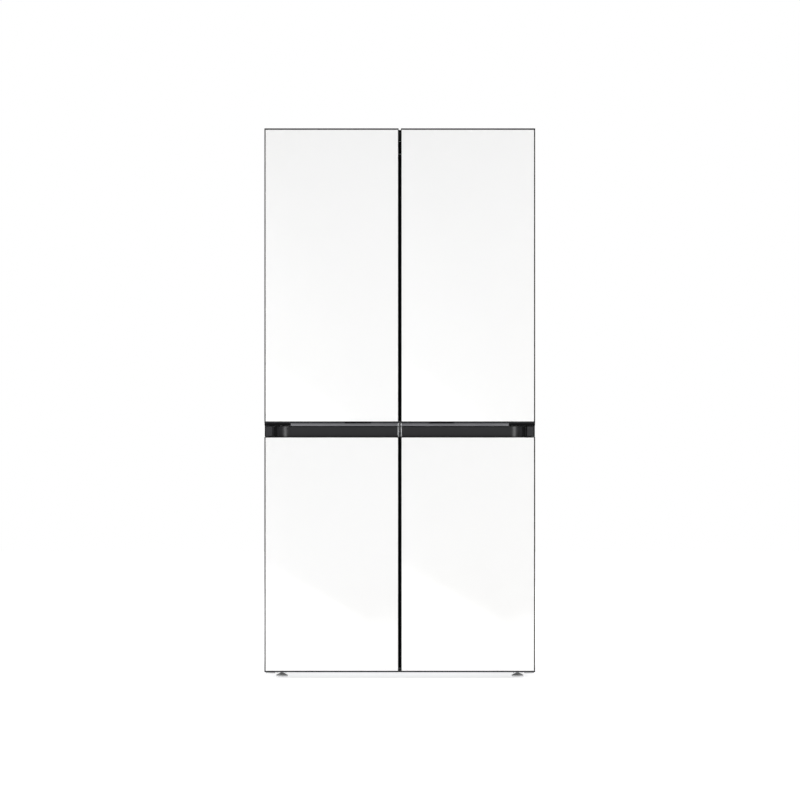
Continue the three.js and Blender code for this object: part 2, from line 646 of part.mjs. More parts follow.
/** Ears on the upper left liner that hold the folding mullion's pins. */
function flipperEars() {
  return [[FLIPPER.low - 9, FLIPPER.low - 1], [FLIPPER.high + 1, FLIPPER.high + 9]].map((z) =>
    cut(
      box([FLIPPER.x - 6, FLIPPER.x + 6], [PLATE_BACK - 1, FLIPPER.y + 6], z),
      post(FLIPPER.x, FLIPPER.y, FLIPPER.bore, [z[0] - 2, z[1] + 2], 16),
    ));
}

function doorGasket(side, [low, high]) {
  const y = [DOOR_BACK + CLEAR, GASKET_BACK];
  return ring(across(side, GASKET_INNER, GASKET_OUTER), y, [low, high], GASKET_WIDE);
}

/** A bin that fits between the dykes, with four walls of one height. */
function doorBin(side, [low, high], back) {
  const inner = DYKE_INNER + DYKE_THICK + 0.5;
  const outer = DYKE_OUTER - DYKE_THICK - 0.5;
  return tray(across(side, inner, outer), [PLATE_BACK + 0.7, back], [low, high]);
}

const UPPER_BINS = [
  { name: 'low', z: [930, 1042] },
  { name: 'high', z: [1320, 1432] },
];
const LOWER_BIN = [560, 652];

for (const [sideName, side] of [['left', -1], ['right', 1]]) {
  const upper = groupAt(refrigerator, side * AXIS_X, AXIS_Y, 0);
  const upperName = `upper_${sideName}`;
  const upperLiner = doorLiner(side, [FRIDGE.low + 2, FRIDGE.high - 2]);
  add(upper, `${upperName}_door_glass`, doorGlass(side, UPPER_GLASS), 'glass');
  add(upper, `${upperName}_door_body`, upperBody(side), 'frame');
  add(upper, `${upperName}_door_liner`, side < 0 ? join(upperLiner, ...flipperEars()) : upperLiner, 'white');
  add(upper, `${upperName}_door_gasket`, doorGasket(side, [FRIDGE.low - 15, FRIDGE.high + 15]), 'rubber');
  add(upper, `${upperName}_door_grip`, doorGrip(side), 'grip');
  for (const { name, z } of UPPER_BINS) {
    add(upper, `${upperName}_door_bin_${name}`, doorBin(side, z, BIN_BACK), 'clear');
  }

  const lower = groupAt(refrigerator, side * AXIS_X, AXIS_Y, 0);
  const lowerName = `lower_${sideName}`;
  add(lower, `${lowerName}_door_glass`, doorGlass(side, LOWER_GLASS), 'glass');
  add(lower, `${lowerName}_door_body`, lowerBody(side), 'frame');
  add(lower, `${lowerName}_door_liner`, doorLiner(side, [LOWER.low + 2, LOWER.high - 2]), 'white');
  add(lower, `${lowerName}_door_gasket`, doorGasket(side, [LOWER.low - 15, LOWER.high + 15]), 'rubber');
  add(lower, `${lowerName}_door_bin`, doorBin(side, LOWER_BIN, LOWER_BIN_BACK), 'clear');
}

/** The folding mullion that closes the gap behind the two upper doors. */
function flipperMullion() {
  const y = [FLIPPER.y - FLIPPER.half, FLIPPER.y + FLIPPER.half];
  const z = [FLIPPER.low, FLIPPER.high];
  const blade = box([FLIPPER.x, FLIPPER.reach], y, z);
  const knuckle = post(FLIPPER.x, FLIPPER.y, FLIPPER.half, z, 24);
  const pin = post(FLIPPER.x, FLIPPER.y, FLIPPER.pin, [z[0] - 7, z[1] + 7], 16);
  const stud = post(STUD.x, FLIPPER.y, STUD.r, [z[1] - 1, z[1] + STUD.tall], 16);
  return join(blade, knuckle, pin, stud);
}
add(groupAt(refrigerator, FLIPPER.x, FLIPPER.y, 0), 'folding_mullion', flipperMullion(), 'frame');

/** The block under the fridge room's ceiling whose slot, open to the front, takes the mullion's stud. */
function mullionGuide() {
  const z = [FLIPPER.high + 1, FRIDGE.high - CLEAR];
  const block = box([-GUIDE.half, GUIDE.half], [CAB_FRONT + CLEAR, GUIDE.back], z);
  const slot = box([STUD.x - 7, STUD.x + 10], [CAB_FRONT - BEYOND, FLIPPER.y + 7], [z[0] - BEYOND, z[0] + 7]);
  return cut(block, slot);
}
add(cabinet, 'mullion_guide', mullionGuide(), 'dark');

// ---------------------------------------------------------------- drawers

/** The dip for the hand in a drawer's front wall, to be cut away. */
function handDip(side, middle, top) {
  const x = across(side, middle - DIP.half, middle + DIP.half);
  return box(x, [DRAWER_FRONT - BEYOND, DRAWER_FRONT + 2 * WALL], [top - DIP.deep, top + BEYOND]);
}

/** A drawer with flanges on the runners and a dip in its front wall for the hand. */
function drawer(side, { low, high, rear }) {
  const [inner, outer] = [DRAWER_INNER + 7, DRAWER_OUTER - 6];
  const body = tray(across(side, inner, outer), [DRAWER_FRONT, rear], [low, high]);
  const flanges = [[DRAWER_INNER, inner + 1], [outer - 1, DRAWER_OUTER]].map(([a, b]) =>
    box(across(side, a, b), [DRAWER_FRONT, rear], [high - FLANGE, high]));
  return cut(join(body, ...flanges), handDip(side, (inner + outer) / 2, high));
}

/** A crisper, which slides on the floor of the upper room. */
function crisper(side) {
  const [inner, outer] = [CRISPER_INNER, DRAWER_OUTER];
  const z = [FRIDGE.low + CLEAR, SHELF_HEIGHTS.crisper_cover - NOSE.under - 10];
  const body = tray(across(side, inner, outer), [DRAWER_FRONT, DRAWER_REAR], z);
  return cut(body, handDip(side, (inner + outer) / 2, z[1]));
}

for (const [sideName, side, room] of [['left', -1, 'freezer'], ['right', 1, 'flex']]) {
  add(groupAt(refrigerator, 0, DRAWER_FRONT, 0), `crisper_${sideName}`, crisper(side), 'clear');
  for (const row of DRAWER_ROWS) {
    add(groupAt(refrigerator, 0, DRAWER_FRONT, 0), `${room}_drawer_${row.row}`, drawer(side, row), 'clear');
  }
}

export default refrigerator;
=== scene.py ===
"""French door refrigerator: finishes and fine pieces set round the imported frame.

Lengths are in metres. +Z is up, the doors face -Y, and the origin is on the floor under the middle.
"""

import logging
import math
from collections.abc import Iterable, Sequence
from dataclasses import dataclass
from enum import Enum

import bmesh
import bpy
import numpy as np
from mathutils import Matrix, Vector
from numpy.typing import NDArray


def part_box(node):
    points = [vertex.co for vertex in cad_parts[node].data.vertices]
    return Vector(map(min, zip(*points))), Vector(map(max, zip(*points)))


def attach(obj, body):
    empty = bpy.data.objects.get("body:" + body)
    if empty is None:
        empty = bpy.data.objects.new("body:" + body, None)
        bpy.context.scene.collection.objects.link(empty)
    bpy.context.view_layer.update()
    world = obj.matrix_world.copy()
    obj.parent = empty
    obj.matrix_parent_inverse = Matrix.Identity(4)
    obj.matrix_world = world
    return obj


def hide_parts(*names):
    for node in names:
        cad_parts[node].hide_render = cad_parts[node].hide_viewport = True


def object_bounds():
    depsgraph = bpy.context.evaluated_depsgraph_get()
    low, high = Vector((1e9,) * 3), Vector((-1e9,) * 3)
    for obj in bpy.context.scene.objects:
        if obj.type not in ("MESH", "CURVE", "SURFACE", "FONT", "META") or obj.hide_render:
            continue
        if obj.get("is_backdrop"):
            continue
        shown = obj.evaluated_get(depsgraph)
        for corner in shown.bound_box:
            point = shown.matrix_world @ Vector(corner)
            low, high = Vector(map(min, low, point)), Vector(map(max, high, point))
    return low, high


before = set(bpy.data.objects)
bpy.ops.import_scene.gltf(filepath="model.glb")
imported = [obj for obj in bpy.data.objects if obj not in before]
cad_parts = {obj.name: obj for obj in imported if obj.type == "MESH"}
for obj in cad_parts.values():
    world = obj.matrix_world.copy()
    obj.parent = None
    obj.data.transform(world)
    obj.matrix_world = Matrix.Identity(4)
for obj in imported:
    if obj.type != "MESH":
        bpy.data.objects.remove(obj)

log = logging.getLogger("refrigerator")

Array = NDArray[np.float64]
Color = tuple[float, float, float]
Point = tuple[float, float, float]
MM = 0.001


# ---------------------------------------------------------------- shader groups


class Shade:
    """A node tree being built, with short calls for adding and joining nodes."""

    def __init__(self, tree: bpy.types.NodeTree) -> None:
        """Keeps the tree."""
        self.tree = tree

    def node(self, kind: str, **settings: object) -> bpy.types.Node:
        """Adds a node.

        Args:
            kind: the node's type name, without its "ShaderNode" start.
            settings: properties to set on it.

        Returns:
            The new node.
        """
        made = self.tree.nodes.new(f"ShaderNode{kind}")
        for name, value in settings.items():
            setattr(made, name, value)
        return made

    def join(self, source: bpy.types.NodeSocket, target: bpy.types.NodeSocket) -> None:
        """Links an output to an input."""
        self.tree.links.new(source, target)

    def math(self, operation: str, first: object, second: object = 0.0) -> bpy.types.NodeSocket:
        """Adds a Math node.

        Args:
            operation: the operation's name.
            first: a socket or a number.
            second: a socket or a number.

        Returns:
            Its output.
        """
        made = self.node("Math", operation=operation)
        for index, value in enumerate((first, second)):
            if isinstance(value, bpy.types.NodeSocket):
                self.join(value, made.inputs[index])
            else:
                made.inputs[index].default_value = value
        return made.outputs[0]

    def mix(self, factor: bpy.types.NodeSocket, first: object, second: object) -> bpy.types.NodeSocket:
        """Mixes two colours.

        Args:
            factor: how much of the second.
            first: a colour socket or value.
            second: a colour socket or value.

        Returns:
            The mixed colour.
        """
        made = self.node("Mix", data_type="RGBA")
        self.join(factor, made.inputs["Factor"])
        for slot, value in ((6, first), (7, second)):
            if isinstance(value, bpy.types.NodeSocket):
                self.join(value, made.inputs[slot])
            else:
                made.inputs[slot].default_value = (*value, 1.0)
        return made.outputs[2]


def shader_group(name: str, inputs: dict[str, tuple[str, object]], outputs: dict[str, str]) -> tuple[
        Shade, bpy.types.Node, bpy.types.Node]:
    """Makes an empty shader node group.

    Args:
        name: the group's name.
        inputs: each input's name, with its socket kind and default.
        outputs: each output's name, with its socket kind.

    Returns:
        The group's tree, its input node and its output node.
    """
    tree = bpy.data.node_groups.new(name, "ShaderNodeTree")
    for label, (kind, default) in inputs.items():
        socket = tree.interface.new_socket(label, in_out="INPUT", socket_type=f"NodeSocket{kind}")
        if default is not None:
            socket.default_value = default
    for label, kind in outputs.items():
        tree.interface.new_socket(label, in_out="OUTPUT", socket_type=f"NodeSocket{kind}")
    return Shade(tree), tree.nodes.new("NodeGroupInput"), tree.nodes.new("NodeGroupOutput")


def stretched_noise(shade: Shade, vector: bpy.types.NodeSocket, stretch: bpy.types.NodeSocket,
                    scale: object, detail: float) -> bpy.types.NodeSocket:
    """Adds a noise pattern whose coordinates are stretched first.

    Args:
        shade: the tree.
        vector: coordinates.
        stretch: factor on each axis.
        scale: the noise's scale, a socket or a number.
        detail: its detail.

    Returns:
        The noise's value.
    """
    product = shade.node("VectorMath", operation="MULTIPLY")
    shade.join(vector, product.inputs[0])
    shade.join(stretch, product.inputs[1])
    noise = shade.node("TexNoise")
    noise.inputs["Detail"].default_value = detail
    if isinstance(scale, bpy.types.NodeSocket):
        shade.join(scale, noise.inputs["Scale"])
    else:
        noise.inputs["Scale"].default_value = scale
    shade.join(product.outputs[0], noise.inputs["Vector"])
    return noise.outputs[0]


def build_grain_group() -> bpy.types.NodeTree:
    """Fine relief: a stretched noise of one scale with a second, three times finer, laid on it.

    Returns:
        A group that puts out Height and Mask.
    """
    shade, source, sink = shader_group(
        "surface_grain",
        {"Vector": ("Vector", None), "Stretch": ("Vector", (1.0, 1.0, 1.0)), "Scale": ("Float", 400.0)},
        {"Height": "Float", "Mask": "Float"},
    )
    coarse = stretched_noise(shade, source.outputs["Vector"], source.outputs["Stretch"],
                             source.outputs["Scale"], 2.0)
    finer = shade.math("MULTIPLY", source.outputs["Scale"], 3.1)
    fine = stretched_noise(shade, source.outputs["Vector"], source.outputs["Stretch"], finer, 1.0)
    height = shade.math("MULTIPLY_ADD", fine, 0.4)
    shade.join(coarse, height.node.inputs[2])
    shade.join(height, sink.inputs["Height"])
    shade.join(coarse, sink.inputs["Mask"])
    return shade.tree


def build_spangle_group() -> bpy.types.NodeTree:
    """The crystal pattern of zinc plate: each Voronoi cell has its own value.

    Returns:
        A group that puts out Height and Mask.
    """
    shade, source, sink = shader_group(
        "zinc_spangle",
        {"Vector": ("Vector", None), "Stretch": ("Vector", (1.0, 1.0, 1.0)), "Scale": ("Float", 70.0)},
        {"Height": "Float", "Mask": "Float"},
    )
    cells = shade.node("TexVoronoi", feature="F1")
    shade.join(source.outputs["Vector"], cells.inputs["Vector"])
    shade.join(source.outputs["Scale"], cells.inputs["Scale"])
    grey = shade.node("SeparateColor")
    shade.join(cells.outputs["Color"], grey.inputs[0])
    shade.join(cells.outputs["Distance"], sink.inputs["Height"])
    shade.join(grey.outputs[0], sink.inputs["Mask"])
    return shade.tree


def build_drift_group() -> bpy.types.NodeTree:
    """A slow change of colour over the piece, from one tone to a second.

    Returns:
        A group that puts out Color.
    """
    shade, source, sink = shader_group(
        "tone_drift",
        {"Vector": ("Vector", None), "Tone": ("Color", None), "Second Tone": ("Color", None),
         "Scale": ("Float", 2.0), "Amount": ("Float", 1.0)},
        {"Color": "Color"},
    )
    noise = shade.node("TexNoise")
    noise.inputs["Detail"].default_value = 1.5
    shade.join(source.outputs["Vector"], noise.inputs["Vector"])
    shade.join(source.outputs["Scale"], noise.inputs["Scale"])
    ramp = shade.node("MapRange", interpolation_type="SMOOTHSTEP")
    ramp.inputs["From Min"].default_value = 0.38
    ramp.inputs["From Max"].default_value = 0.68
    shade.join(noise.outputs[0], ramp.inputs["Value"])
    share = shade.math("MULTIPLY", ramp.outputs[0], source.outputs["Amount"])
    shade.join(shade.mix(share, source.outputs["Tone"], source.outputs["Second Tone"]), sink.inputs["Color"])
    return shade.tree


def build_dust_group() -> bpy.types.NodeTree:
    """Dust on faces that look up: the normal's height to a power, broken up by noise.

    Returns:
        A group that puts out Mask.
    """
    shade, source, sink = shader_group(
        "settled_dust", {"Vector": ("Vector", None), "Amount": ("Float", 0.2)}, {"Mask": "Float"})
    lie = shade.node("NewGeometry")
    parts = shade.node("SeparateXYZ")
    shade.join(lie.outputs["Normal"], parts.inputs[0])
    upward = shade.math("POWER", shade.math("MAXIMUM", parts.outputs[2], 0.0), 4.0)
    noise = shade.node("TexNoise")
    noise.inputs["Scale"].default_value = 14.0
    noise.inputs["Detail"].default_value = 5.0
    shade.join(source.outputs["Vector"], noise.inputs["Vector"])
    broken = shade.math("MULTIPLY", upward, noise.outputs[0])
    shade.join(shade.math("MULTIPLY", broken, source.outputs["Amount"]), sink.inputs["Mask"])
    return shade.tree


class Relief(Enum):
    """The kinds of fine surface pattern."""

    GRAIN = "surface_grain"
    SPANGLE = "zinc_spangle"


GROUPS: dict[str, bpy.types.NodeTree] = {}


def build_groups() -> None:
    """Makes the shared shader groups."""
    for build in (build_grain_group, build_spangle_group, build_drift_group, build_dust_group):
        tree = build()
        GROUPS[tree.name] = tree


# ---------------------------------------------------------------- finishes


@dataclass(frozen=True)
class Finish:
    """A surface finish: two tones that drift, a fine relief, and the gloss that goes with it."""

    name: str
    slot: str
    tone: Color
    second_tone: Color
    roughness: float
    spread: float = 0.05  # how far the roughness changes from place to place
    metallic: float = 0.0
    relief: Relief = Relief.GRAIN
    relief_scale: float = 500.0
    relief_depth: float = 0.00002
    stretch: Point = (1.0, 1.0, 1.0)
    drift_scale: float = 1.6
    dust: float = 0.0
    coat: float = 0.0
    coat_roughness: float = 0.03
    specular: float = 0.5
    transmission: float = 0.0
    glow: float = 0.0

    def material(self) -> bpy.types.Material:
        """Makes the material, or gives the one already made.

        Returns:
            The material.
        """
        found = bpy.data.materials.get(self.name)
        if found:
            return found
        made = bpy.data.materials.new(self.name)
        made.use_nodes = True
        shade = Shade(made.node_tree)
        surface = made.node_tree.nodes["Principled BSDF"]
        place = shade.node("TexCoord").outputs["Object"]
        color = self._color(shade, place)
        height, mask = self._relief(shade, place)
        shade.join(color, surface.inputs["Base Color"])
        rough = shade.node("MapRange")
        rough.inputs["To Min"].default_value = max(self.roughness - self.spread, 0.0)
        rough.inputs["To Max"].default_value = self.roughness + self.spread
        shade.join(mask, rough.inputs["Value"])
        shade.join(rough.outputs[0], surface.inputs["Roughness"])
        bump = shade.node("Bump")
        bump.inputs["Strength"].default_value = 1.0
        bump.inputs["Distance"].default_value = self.relief_depth
        shade.join(height, bump.inputs["Height"])
        shade.join(bump.outputs[0], surface.inputs["Normal"])
        surface.inputs["Metallic"].default_value = self.metallic
        surface.inputs["Coat Weight"].default_value = self.coat
        surface.inputs["Coat Roughness"].default_value = self.coat_roughness
        surface.inputs["Specular IOR Level"].default_value = self.specular
        surface.inputs["Transmission Weight"].default_value = self.transmission
        if self.glow:
            surface.inputs["Emission Color"].default_value = (*self.tone, 1.0)
            surface.inputs["Emission Strength"].default_value = self.glow
        return made

    def _color(self, shade: Shade, place: bpy.types.NodeSocket) -> bpy.types.NodeSocket:
        """Adds the drifting tone, with dust on it where there is any.

        Args:
            shade: the material's tree.
            place: coordinates.

        Returns:
            The colour.
        """
        drift = shade.node("Group", node_tree=GROUPS["tone_drift"])
        drift.inputs["Tone"].default_value = (*self.tone, 1.0)
        drift.inputs["Second Tone"].default_value = (*self.second_tone, 1.0)
        drift.inputs["Scale"].default_value = self.drift_scale
        shade.join(place, drift.inputs["Vector"])
        if not self.dust:
            return drift.outputs[0]
        dust = shade.node("Group", node_tree=GROUPS["settled_dust"])
        dust.inputs["Amount"].default_value = self.dust
        shade.join(place, dust.inputs["Vector"])
        return shade.mix(dust.outputs[0], drift.outputs[0], (0.42, 0.4, 0.37))

    def _relief(self, shade: Shade, place: bpy.types.NodeSocket) -> Sequence[bpy.types.NodeSocket]:
        """Adds the fine pattern.

        Args:
            shade: the material's tree.
            place: coordinates.

        Returns:
            Its height and its mask.
        """
        relief = shade.node("Group", node_tree=GROUPS[self.relief.value])
        relief.inputs["Stretch"].default_value = self.stretch
        relief.inputs["Scale"].default_value = self.relief_scale
        shade.join(place, relief.inputs["Vector"])
        return relief.outputs["Height"], relief.outputs["Mask"]


# The white glass's warm second tone, drifting over the pane, is a painted reflection: a faint warm cast
# across the white panels.
WHITE_GLASS = Finish(
    "white_back_painted_glass", "white_glass", (0.77, 0.77, 0.768), (0.763, 0.76, 0.753), 0.09, 0.02,
    relief_scale=24.0, relief_depth=0.00001, drift_scale=0.9, coat=1.0, coat_roughness=0.02)
CHARCOAL_FRAME = Finish(
    "charcoal_door_frame", "charcoal_frame", (0.0105, 0.0105, 0.013), (0.014, 0.014, 0.0165), 0.42, 0.07,
    relief_scale=900.0, relief_depth=0.00002, specular=0.3, dust=0.06)
HANDLE_WALL = Finish(
    "charcoal_handle_wall", "charcoal_frame", (0.0046, 0.0045, 0.0068), (0.0056, 0.0055, 0.0078), 0.3, 0.03,
    relief_scale=1100.0, relief_depth=0.00001, specular=0.5)
# Matte black for painted shade: most of its strips and plates stand where only shade falls, in gaps and
# recesses.
SHADOW_BLACK = Finish(
    "matte_shadow_black", "charcoal_frame", (0.0035, 0.0035, 0.004), (0.005, 0.005, 0.0055), 0.85, 0.06,
    relief_scale=900.0, relief_depth=0.00003, specular=0.08)
HINGE_CAP = Finish(
    "grey_hinge_cap", "charcoal_plastic", (0.0125, 0.0125, 0.0155), (0.016, 0.016, 0.019), 0.42, 0.06,
    relief_scale=900.0, relief_depth=0.00003, specular=0.4)
BLACK_TRIM = Finish(
    "black_moulded_trim", "charcoal_plastic", (0.009, 0.009, 0.01), (0.012, 0.012, 0.013), 0.5, 0.08,
    relief_scale=1000.0, relief_depth=0.00004, dust=0.16)
DARK_COVER = Finish(
    "dark_moulded_cover", "charcoal_plastic", (0.022, 0.022, 0.025), (0.028, 0.028, 0.031), 0.5, 0.08,
    relief_scale=800.0, relief_depth=0.00005, dust=0.2)
GRIP_METAL = Finish(
    "brushed_grip_metal", "grip_metal", (0.2, 0.2, 0.212), (0.165, 0.165, 0.178), 0.34, 0.1, metallic=0.85,
    relief_scale=700.0, relief_depth=0.00002, stretch=(0.02, 1.0, 1.0), drift_scale=5.0)
RAIL_GREY = Finish(
    "grey_mid_rail", "grip_metal", (0.8, 0.8, 0.81), (0.74, 0.74, 0.75), 0.45, 0.06,
    relief_scale=700.0, stretch=(0.03, 1.0, 1.0))
WHITE_PLASTIC = Finish(
    "white_liner_plastic", "white_plastic", (0.82, 0.83, 0.84), (0.79, 0.8, 0.812), 0.3, 0.07,
    relief_scale=260.0, relief_depth=0.00004, drift_scale=3.0)
TRIM_PLASTIC = Finish(
    "pale_trim_plastic", "white_plastic", (0.62, 0.635, 0.65), (0.58, 0.595, 0.61), 0.33, 0.06,
    relief_scale=700.0, relief_depth=0.00003)
SATIN_TRIM = Finish(
    "satin_metal_trim", "white_plastic", (0.55, 0.56, 0.57), (0.49, 0.5, 0.51), 0.3, 0.08, metallic=0.9,
    relief_scale=800.0, stretch=(0.02, 1.0, 1.0))
FOOT_GREY = Finish(
    "grey_foot_plastic", "charcoal_plastic", (0.64, 0.64, 0.645), (0.58, 0.58, 0.585), 0.55, 0.08,
    relief_scale=700.0, relief_depth=0.00004, dust=0.15)
GASKET = Finish(
    "grey_gasket_rubber", "gasket_rubber", (0.5, 0.51, 0.52), (0.44, 0.45, 0.46), 0.72, 0.06,
    relief_scale=900.0, relief_depth=0.00006, specular=0.35)
PAINTED_SHEET = Finish(
    "embossed_painted_sheet", "painted_sheet", (0.3, 0.308, 0.32), (0.28, 0.288, 0.3), 0.42, 0.07, 0.35,
    relief_scale=360.0, relief_depth=0.00011, drift_scale=2.2, dust=0.22)
ZINC_SHEET = Finish(
    "galvanised_sheet", "plated_sheet", (0.52, 0.53, 0.54), (0.4, 0.41, 0.42), 0.42, 0.14, 0.9,
    relief=Relief.SPANGLE, relief_scale=85.0, relief_depth=0.00003, dust=0.2)
HINGE_STEEL = Finish(
    "plated_hinge_steel", "plated_sheet", (0.56, 0.56, 0.57), (0.44, 0.44, 0.45), 0.33, 0.1, 0.95,
    relief_scale=600.0, relief_depth=0.00003, drift_scale=20.0)
BLACK_ENAMEL = Finish(
    "black_enamel", "black_enamel", (0.011, 0.011, 0.012), (0.018, 0.018, 0.019), 0.28, 0.1,
    relief_scale=140.0, relief_depth=0.00012, dust=0.35)
COPPER = Finish(
    "drawn_copper", "copper_tube", (0.62, 0.28, 0.14), (0.4, 0.19, 0.11), 0.34, 0.12, 0.95,
    relief_scale=300.0, relief_depth=0.00003, drift_scale=30.0, dust=0.2)
ALUMINIUM_FIN = Finish(
    "aluminium_fin", "plated_sheet", (0.62, 0.63, 0.64), (0.5, 0.51, 0.52), 0.36, 0.1, 0.95,
    relief_scale=400.0, drift_scale=20.0)
SHELF_GLASS = Finish(
    "clear_shelf_glass", "clear_glass", (0.93, 0.985, 0.965), (0.91, 0.975, 0.95), 0.025, 0.01,
    relief_scale=30.0, relief_depth=0.000005, transmission=1.0)
CLEAR_PLASTIC = Finish(
    "clear_bin_plastic", "clear_plastic", (0.93, 0.96, 0.975), (0.9, 0.94, 0.96), 0.1, 0.04,
    relief_scale=90.0, relief_depth=0.00002, transmission=0.82)
LAMP = Finish(
    "lamp_diffuser", "white_plastic", (0.96, 0.98, 1.0), (0.94, 0.97, 1.0), 0.5, 0.04,
    relief_scale=900.0, glow=1.4)
FOAM = Finish(
    "rigid_foam", "foam", (0.78, 0.68, 0.36), (0.7, 0.6, 0.3), 0.85, 0.08,
    relief_scale=220.0, relief_depth=0.0003, drift_scale=12.0)


# ---------------------------------------------------------------- surfaces


class Facing(Enum):
    """Which way a surface's own third axis points."""

    FRONT = "front"
    UP = "up"
    SIDE = "side"

    def place(self, points: Array) -> Array:
        """Turns (first, second, third) values into X, Y and Z.

        Args:
            points: an array whose last axis holds the three values.

        Returns:
            The points in X, Y, Z. The three values are (x, z, -y) for FRONT, (x, y, z) for UP and (y, z, x)
            for SIDE.
        """
        a, b, c = points[..., 0], points[..., 1], points[..., 2]
        if self is Facing.FRONT:
            return np.stack([a, -c, b], -1)
        if self is Facing.SIDE:
            return np.stack([c, a, b], -1)
        return points


def rounded_loop(center: tuple[float, float], size: tuple[float, float], radius: float,
                 steps: int = 5) -> tuple[Array, Array]:
    """A rounded rectangle: a quarter circle round each of four corner centres.

    Args:
        center: its middle.
        size: its two sides.
        radius: the corners' radius.
        steps: spans in a corner.

    Returns:
        The points and their outward normals.
    """
    angles = np.arange(4)[:, None] * math.pi / 2 + np.linspace(0, math.pi / 2, steps + 1)[None, :]
    normals = np.stack([np.cos(angles), np.sin(angles)], -1)
    inset = np.array([size[0] / 2 - radius, size[1] / 2 - radius])
    corners = np.array([[1, 1], [-1, 1], [-1, -1], [1, -1]]) * inset
    points = np.array(center) + corners[:, None, :] + radius * normals
    return points.reshape(-1, 2), normals.reshape(-1, 2)


def carried(loop: tuple[Array, Array], profile: Array) -> Array:
    """A profile carried round a loop: the point is the loop's, moved out along its normal.

    Args:
        loop: the loop's points and outward normals.
        profile: (distance outwards, height) pairs.

    Returns:
        An array of profile point by loop point by three values.
    """
    points, normals = loop
    flat = points[None] + profile[:, None, :1] * normals[None]
    height = np.broadcast_to(profile[:, None, 1:], (*flat.shape[:2], 1))
    return np.concatenate([flat, height], -1)


def eased(low: float, high: float, edge: float, steps: int = 3) -> Array:
    """A slab's side profile, with a quarter circle at each end.

    Args:
        low: the first height.
        high: the last height.
        edge: the quarter circles' radius.
        steps: spans in each.

    Returns:
        (distance outwards, height) pairs, from -edge at low, through 0, to -edge at high.
    """
    turn = np.linspace(0, math.pi / 2, steps + 1)
    start = np.stack([-edge + edge * np.sin(turn), low + edge - edge * np.cos(turn)], -1)
    end = np.stack([-edge + edge * np.cos(turn), high - edge + edge * np.sin(turn)], -1)
    return np.concatenate([start, end])


def grid_mesh(name: str, grid: Array, closed_rings: bool = False) -> bpy.types.Mesh:
    """A closed skin over rings of points.

    Args:
        name: the mesh's name.
        grid: ring by point by three values, each ring a closed loop.
        closed_rings: True joins the last ring to the first, and False caps both.

    Returns:
        The mesh, with its faces outwards.
    """
    rings, count = grid.shape[:2]
    number = np.arange(rings * count).reshape(rings, count)
    below = number if closed_rings else number[:-1]
    above = np.roll(number, -1, 0) if closed_rings else number[1:]
    quads = np.stack([below, np.roll(below, -1, 1), np.roll(above, -1, 1), above], -1).reshape(-1, 4)
    faces = quads.tolist()
    if not closed_rings:
        faces += [number[0, ::-1].tolist(), number[-1].tolist()]
    mesh = bpy.data.meshes.new(name)
    mesh.from_pydata(grid.reshape(-1, 3).tolist(), [], faces)
    shape = bmesh.new()
    shape.from_mesh(mesh)
    bmesh.ops.recalc_face_normals(shape, faces=shape.faces)
    shape.to_mesh(mesh)
    shape.free()
    return mesh


def finished(mesh: bpy.types.Mesh, finish: Finish, body: str, replaces: Iterable[str] = (),
             smooth_below: float = 40.0) -> bpy.types.Object:
    """Puts a mesh in the scene as a piece of the object.

    Args:
        mesh: the mesh, in the frame's axes.
        finish: its finish.
        body: the body that it moves with.
        replaces: the frame nodes that it stands for.
        smooth_below: edges under this angle, in degrees, are shaded smooth.

    Returns:
        The new object.
    """
    mesh.materials.clear()
    mesh.materials.append(finish.material())
    mesh.polygons.foreach_set("use_smooth", np.ones(len(mesh.polygons), bool))
    mesh.set_sharp_from_angle(angle=math.radians(smooth_below))
    piece = bpy.data.objects.new(mesh.name, mesh)
    bpy.context.scene.collection.objects.link(piece)
    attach(piece, body)
    nodes = tuple(replaces)
    if nodes:
        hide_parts(*nodes)
    log.info("%s: %d faces on %s", mesh.name, len(mesh.polygons), body)
    return piece


@dataclass
class Slab:
    """A flat piece with rounded corners and eased edges, between two opposite corners."""

    name: str
    low: Sequence[float]
    high: Sequence[float]
    finish: Finish
    body: str
    facing: Facing = Facing.FRONT
    corner: float = 0.002
    edge: float = 0.0005
    replaces: tuple[str, ...] = ()

    def build(self) -> bpy.types.Object:
        """Makes the slab: an eased profile carried round a rounded rectangle.

        Returns:
            The new object.
        """
        a, b, c = {Facing.FRONT: (0, 2, 1), Facing.UP: (0, 1, 2), Facing.SIDE: (1, 2, 0)}[self.facing]
        low = np.minimum(self.low, self.high)
        high = np.maximum(self.low, self.high)
        size = high - low
        edge = min(self.edge, size[c] * 0.45)
        corner = min(max(self.corner, edge * 1.05), size[a] * 0.49, size[b] * 0.49)
        middle = (low + high) / 2
        depth = (-high[c], -low[c]) if self.facing is Facing.FRONT else (low[c], high[c])
        loop = rounded_loop((middle[a], middle[b]), (size[a], size[b]), corner)
        grid = self.facing.place(carried(loop, eased(*depth, min(edge, corner * 0.95))))
        return finished(grid_mesh(self.name, grid), self.finish, self.body, self.replaces)


def round_piece(name: str, center: Sequence[float], profile: Array, finish: Finish, body: str,
                facing: Facing = Facing.UP, replaces: tuple[str, ...] = (),
                steps: int = 10) -> bpy.types.Object:
    """A turned piece: a profile of (radius, height) carried round a circle.

    Args:
        name: its name.
        center: the axis's place, on the two axes across it.
        profile: (radius, height) pairs, capped at both ends.
        finish: its finish.
        body: the body that it moves with.
        facing: which way its axis points.
        replaces: the frame nodes that it stands for.
        steps: spans in a quarter turn.

    Returns:
        The new object.
    """
    smallest = 1e-6
    loop = rounded_loop(tuple(center), (2 * smallest, 2 * smallest), smallest, steps)
    points = facing.place(carried(loop, profile - np.array([smallest, 0.0])))
    return finished(grid_mesh(name, points), finish, body, replaces)


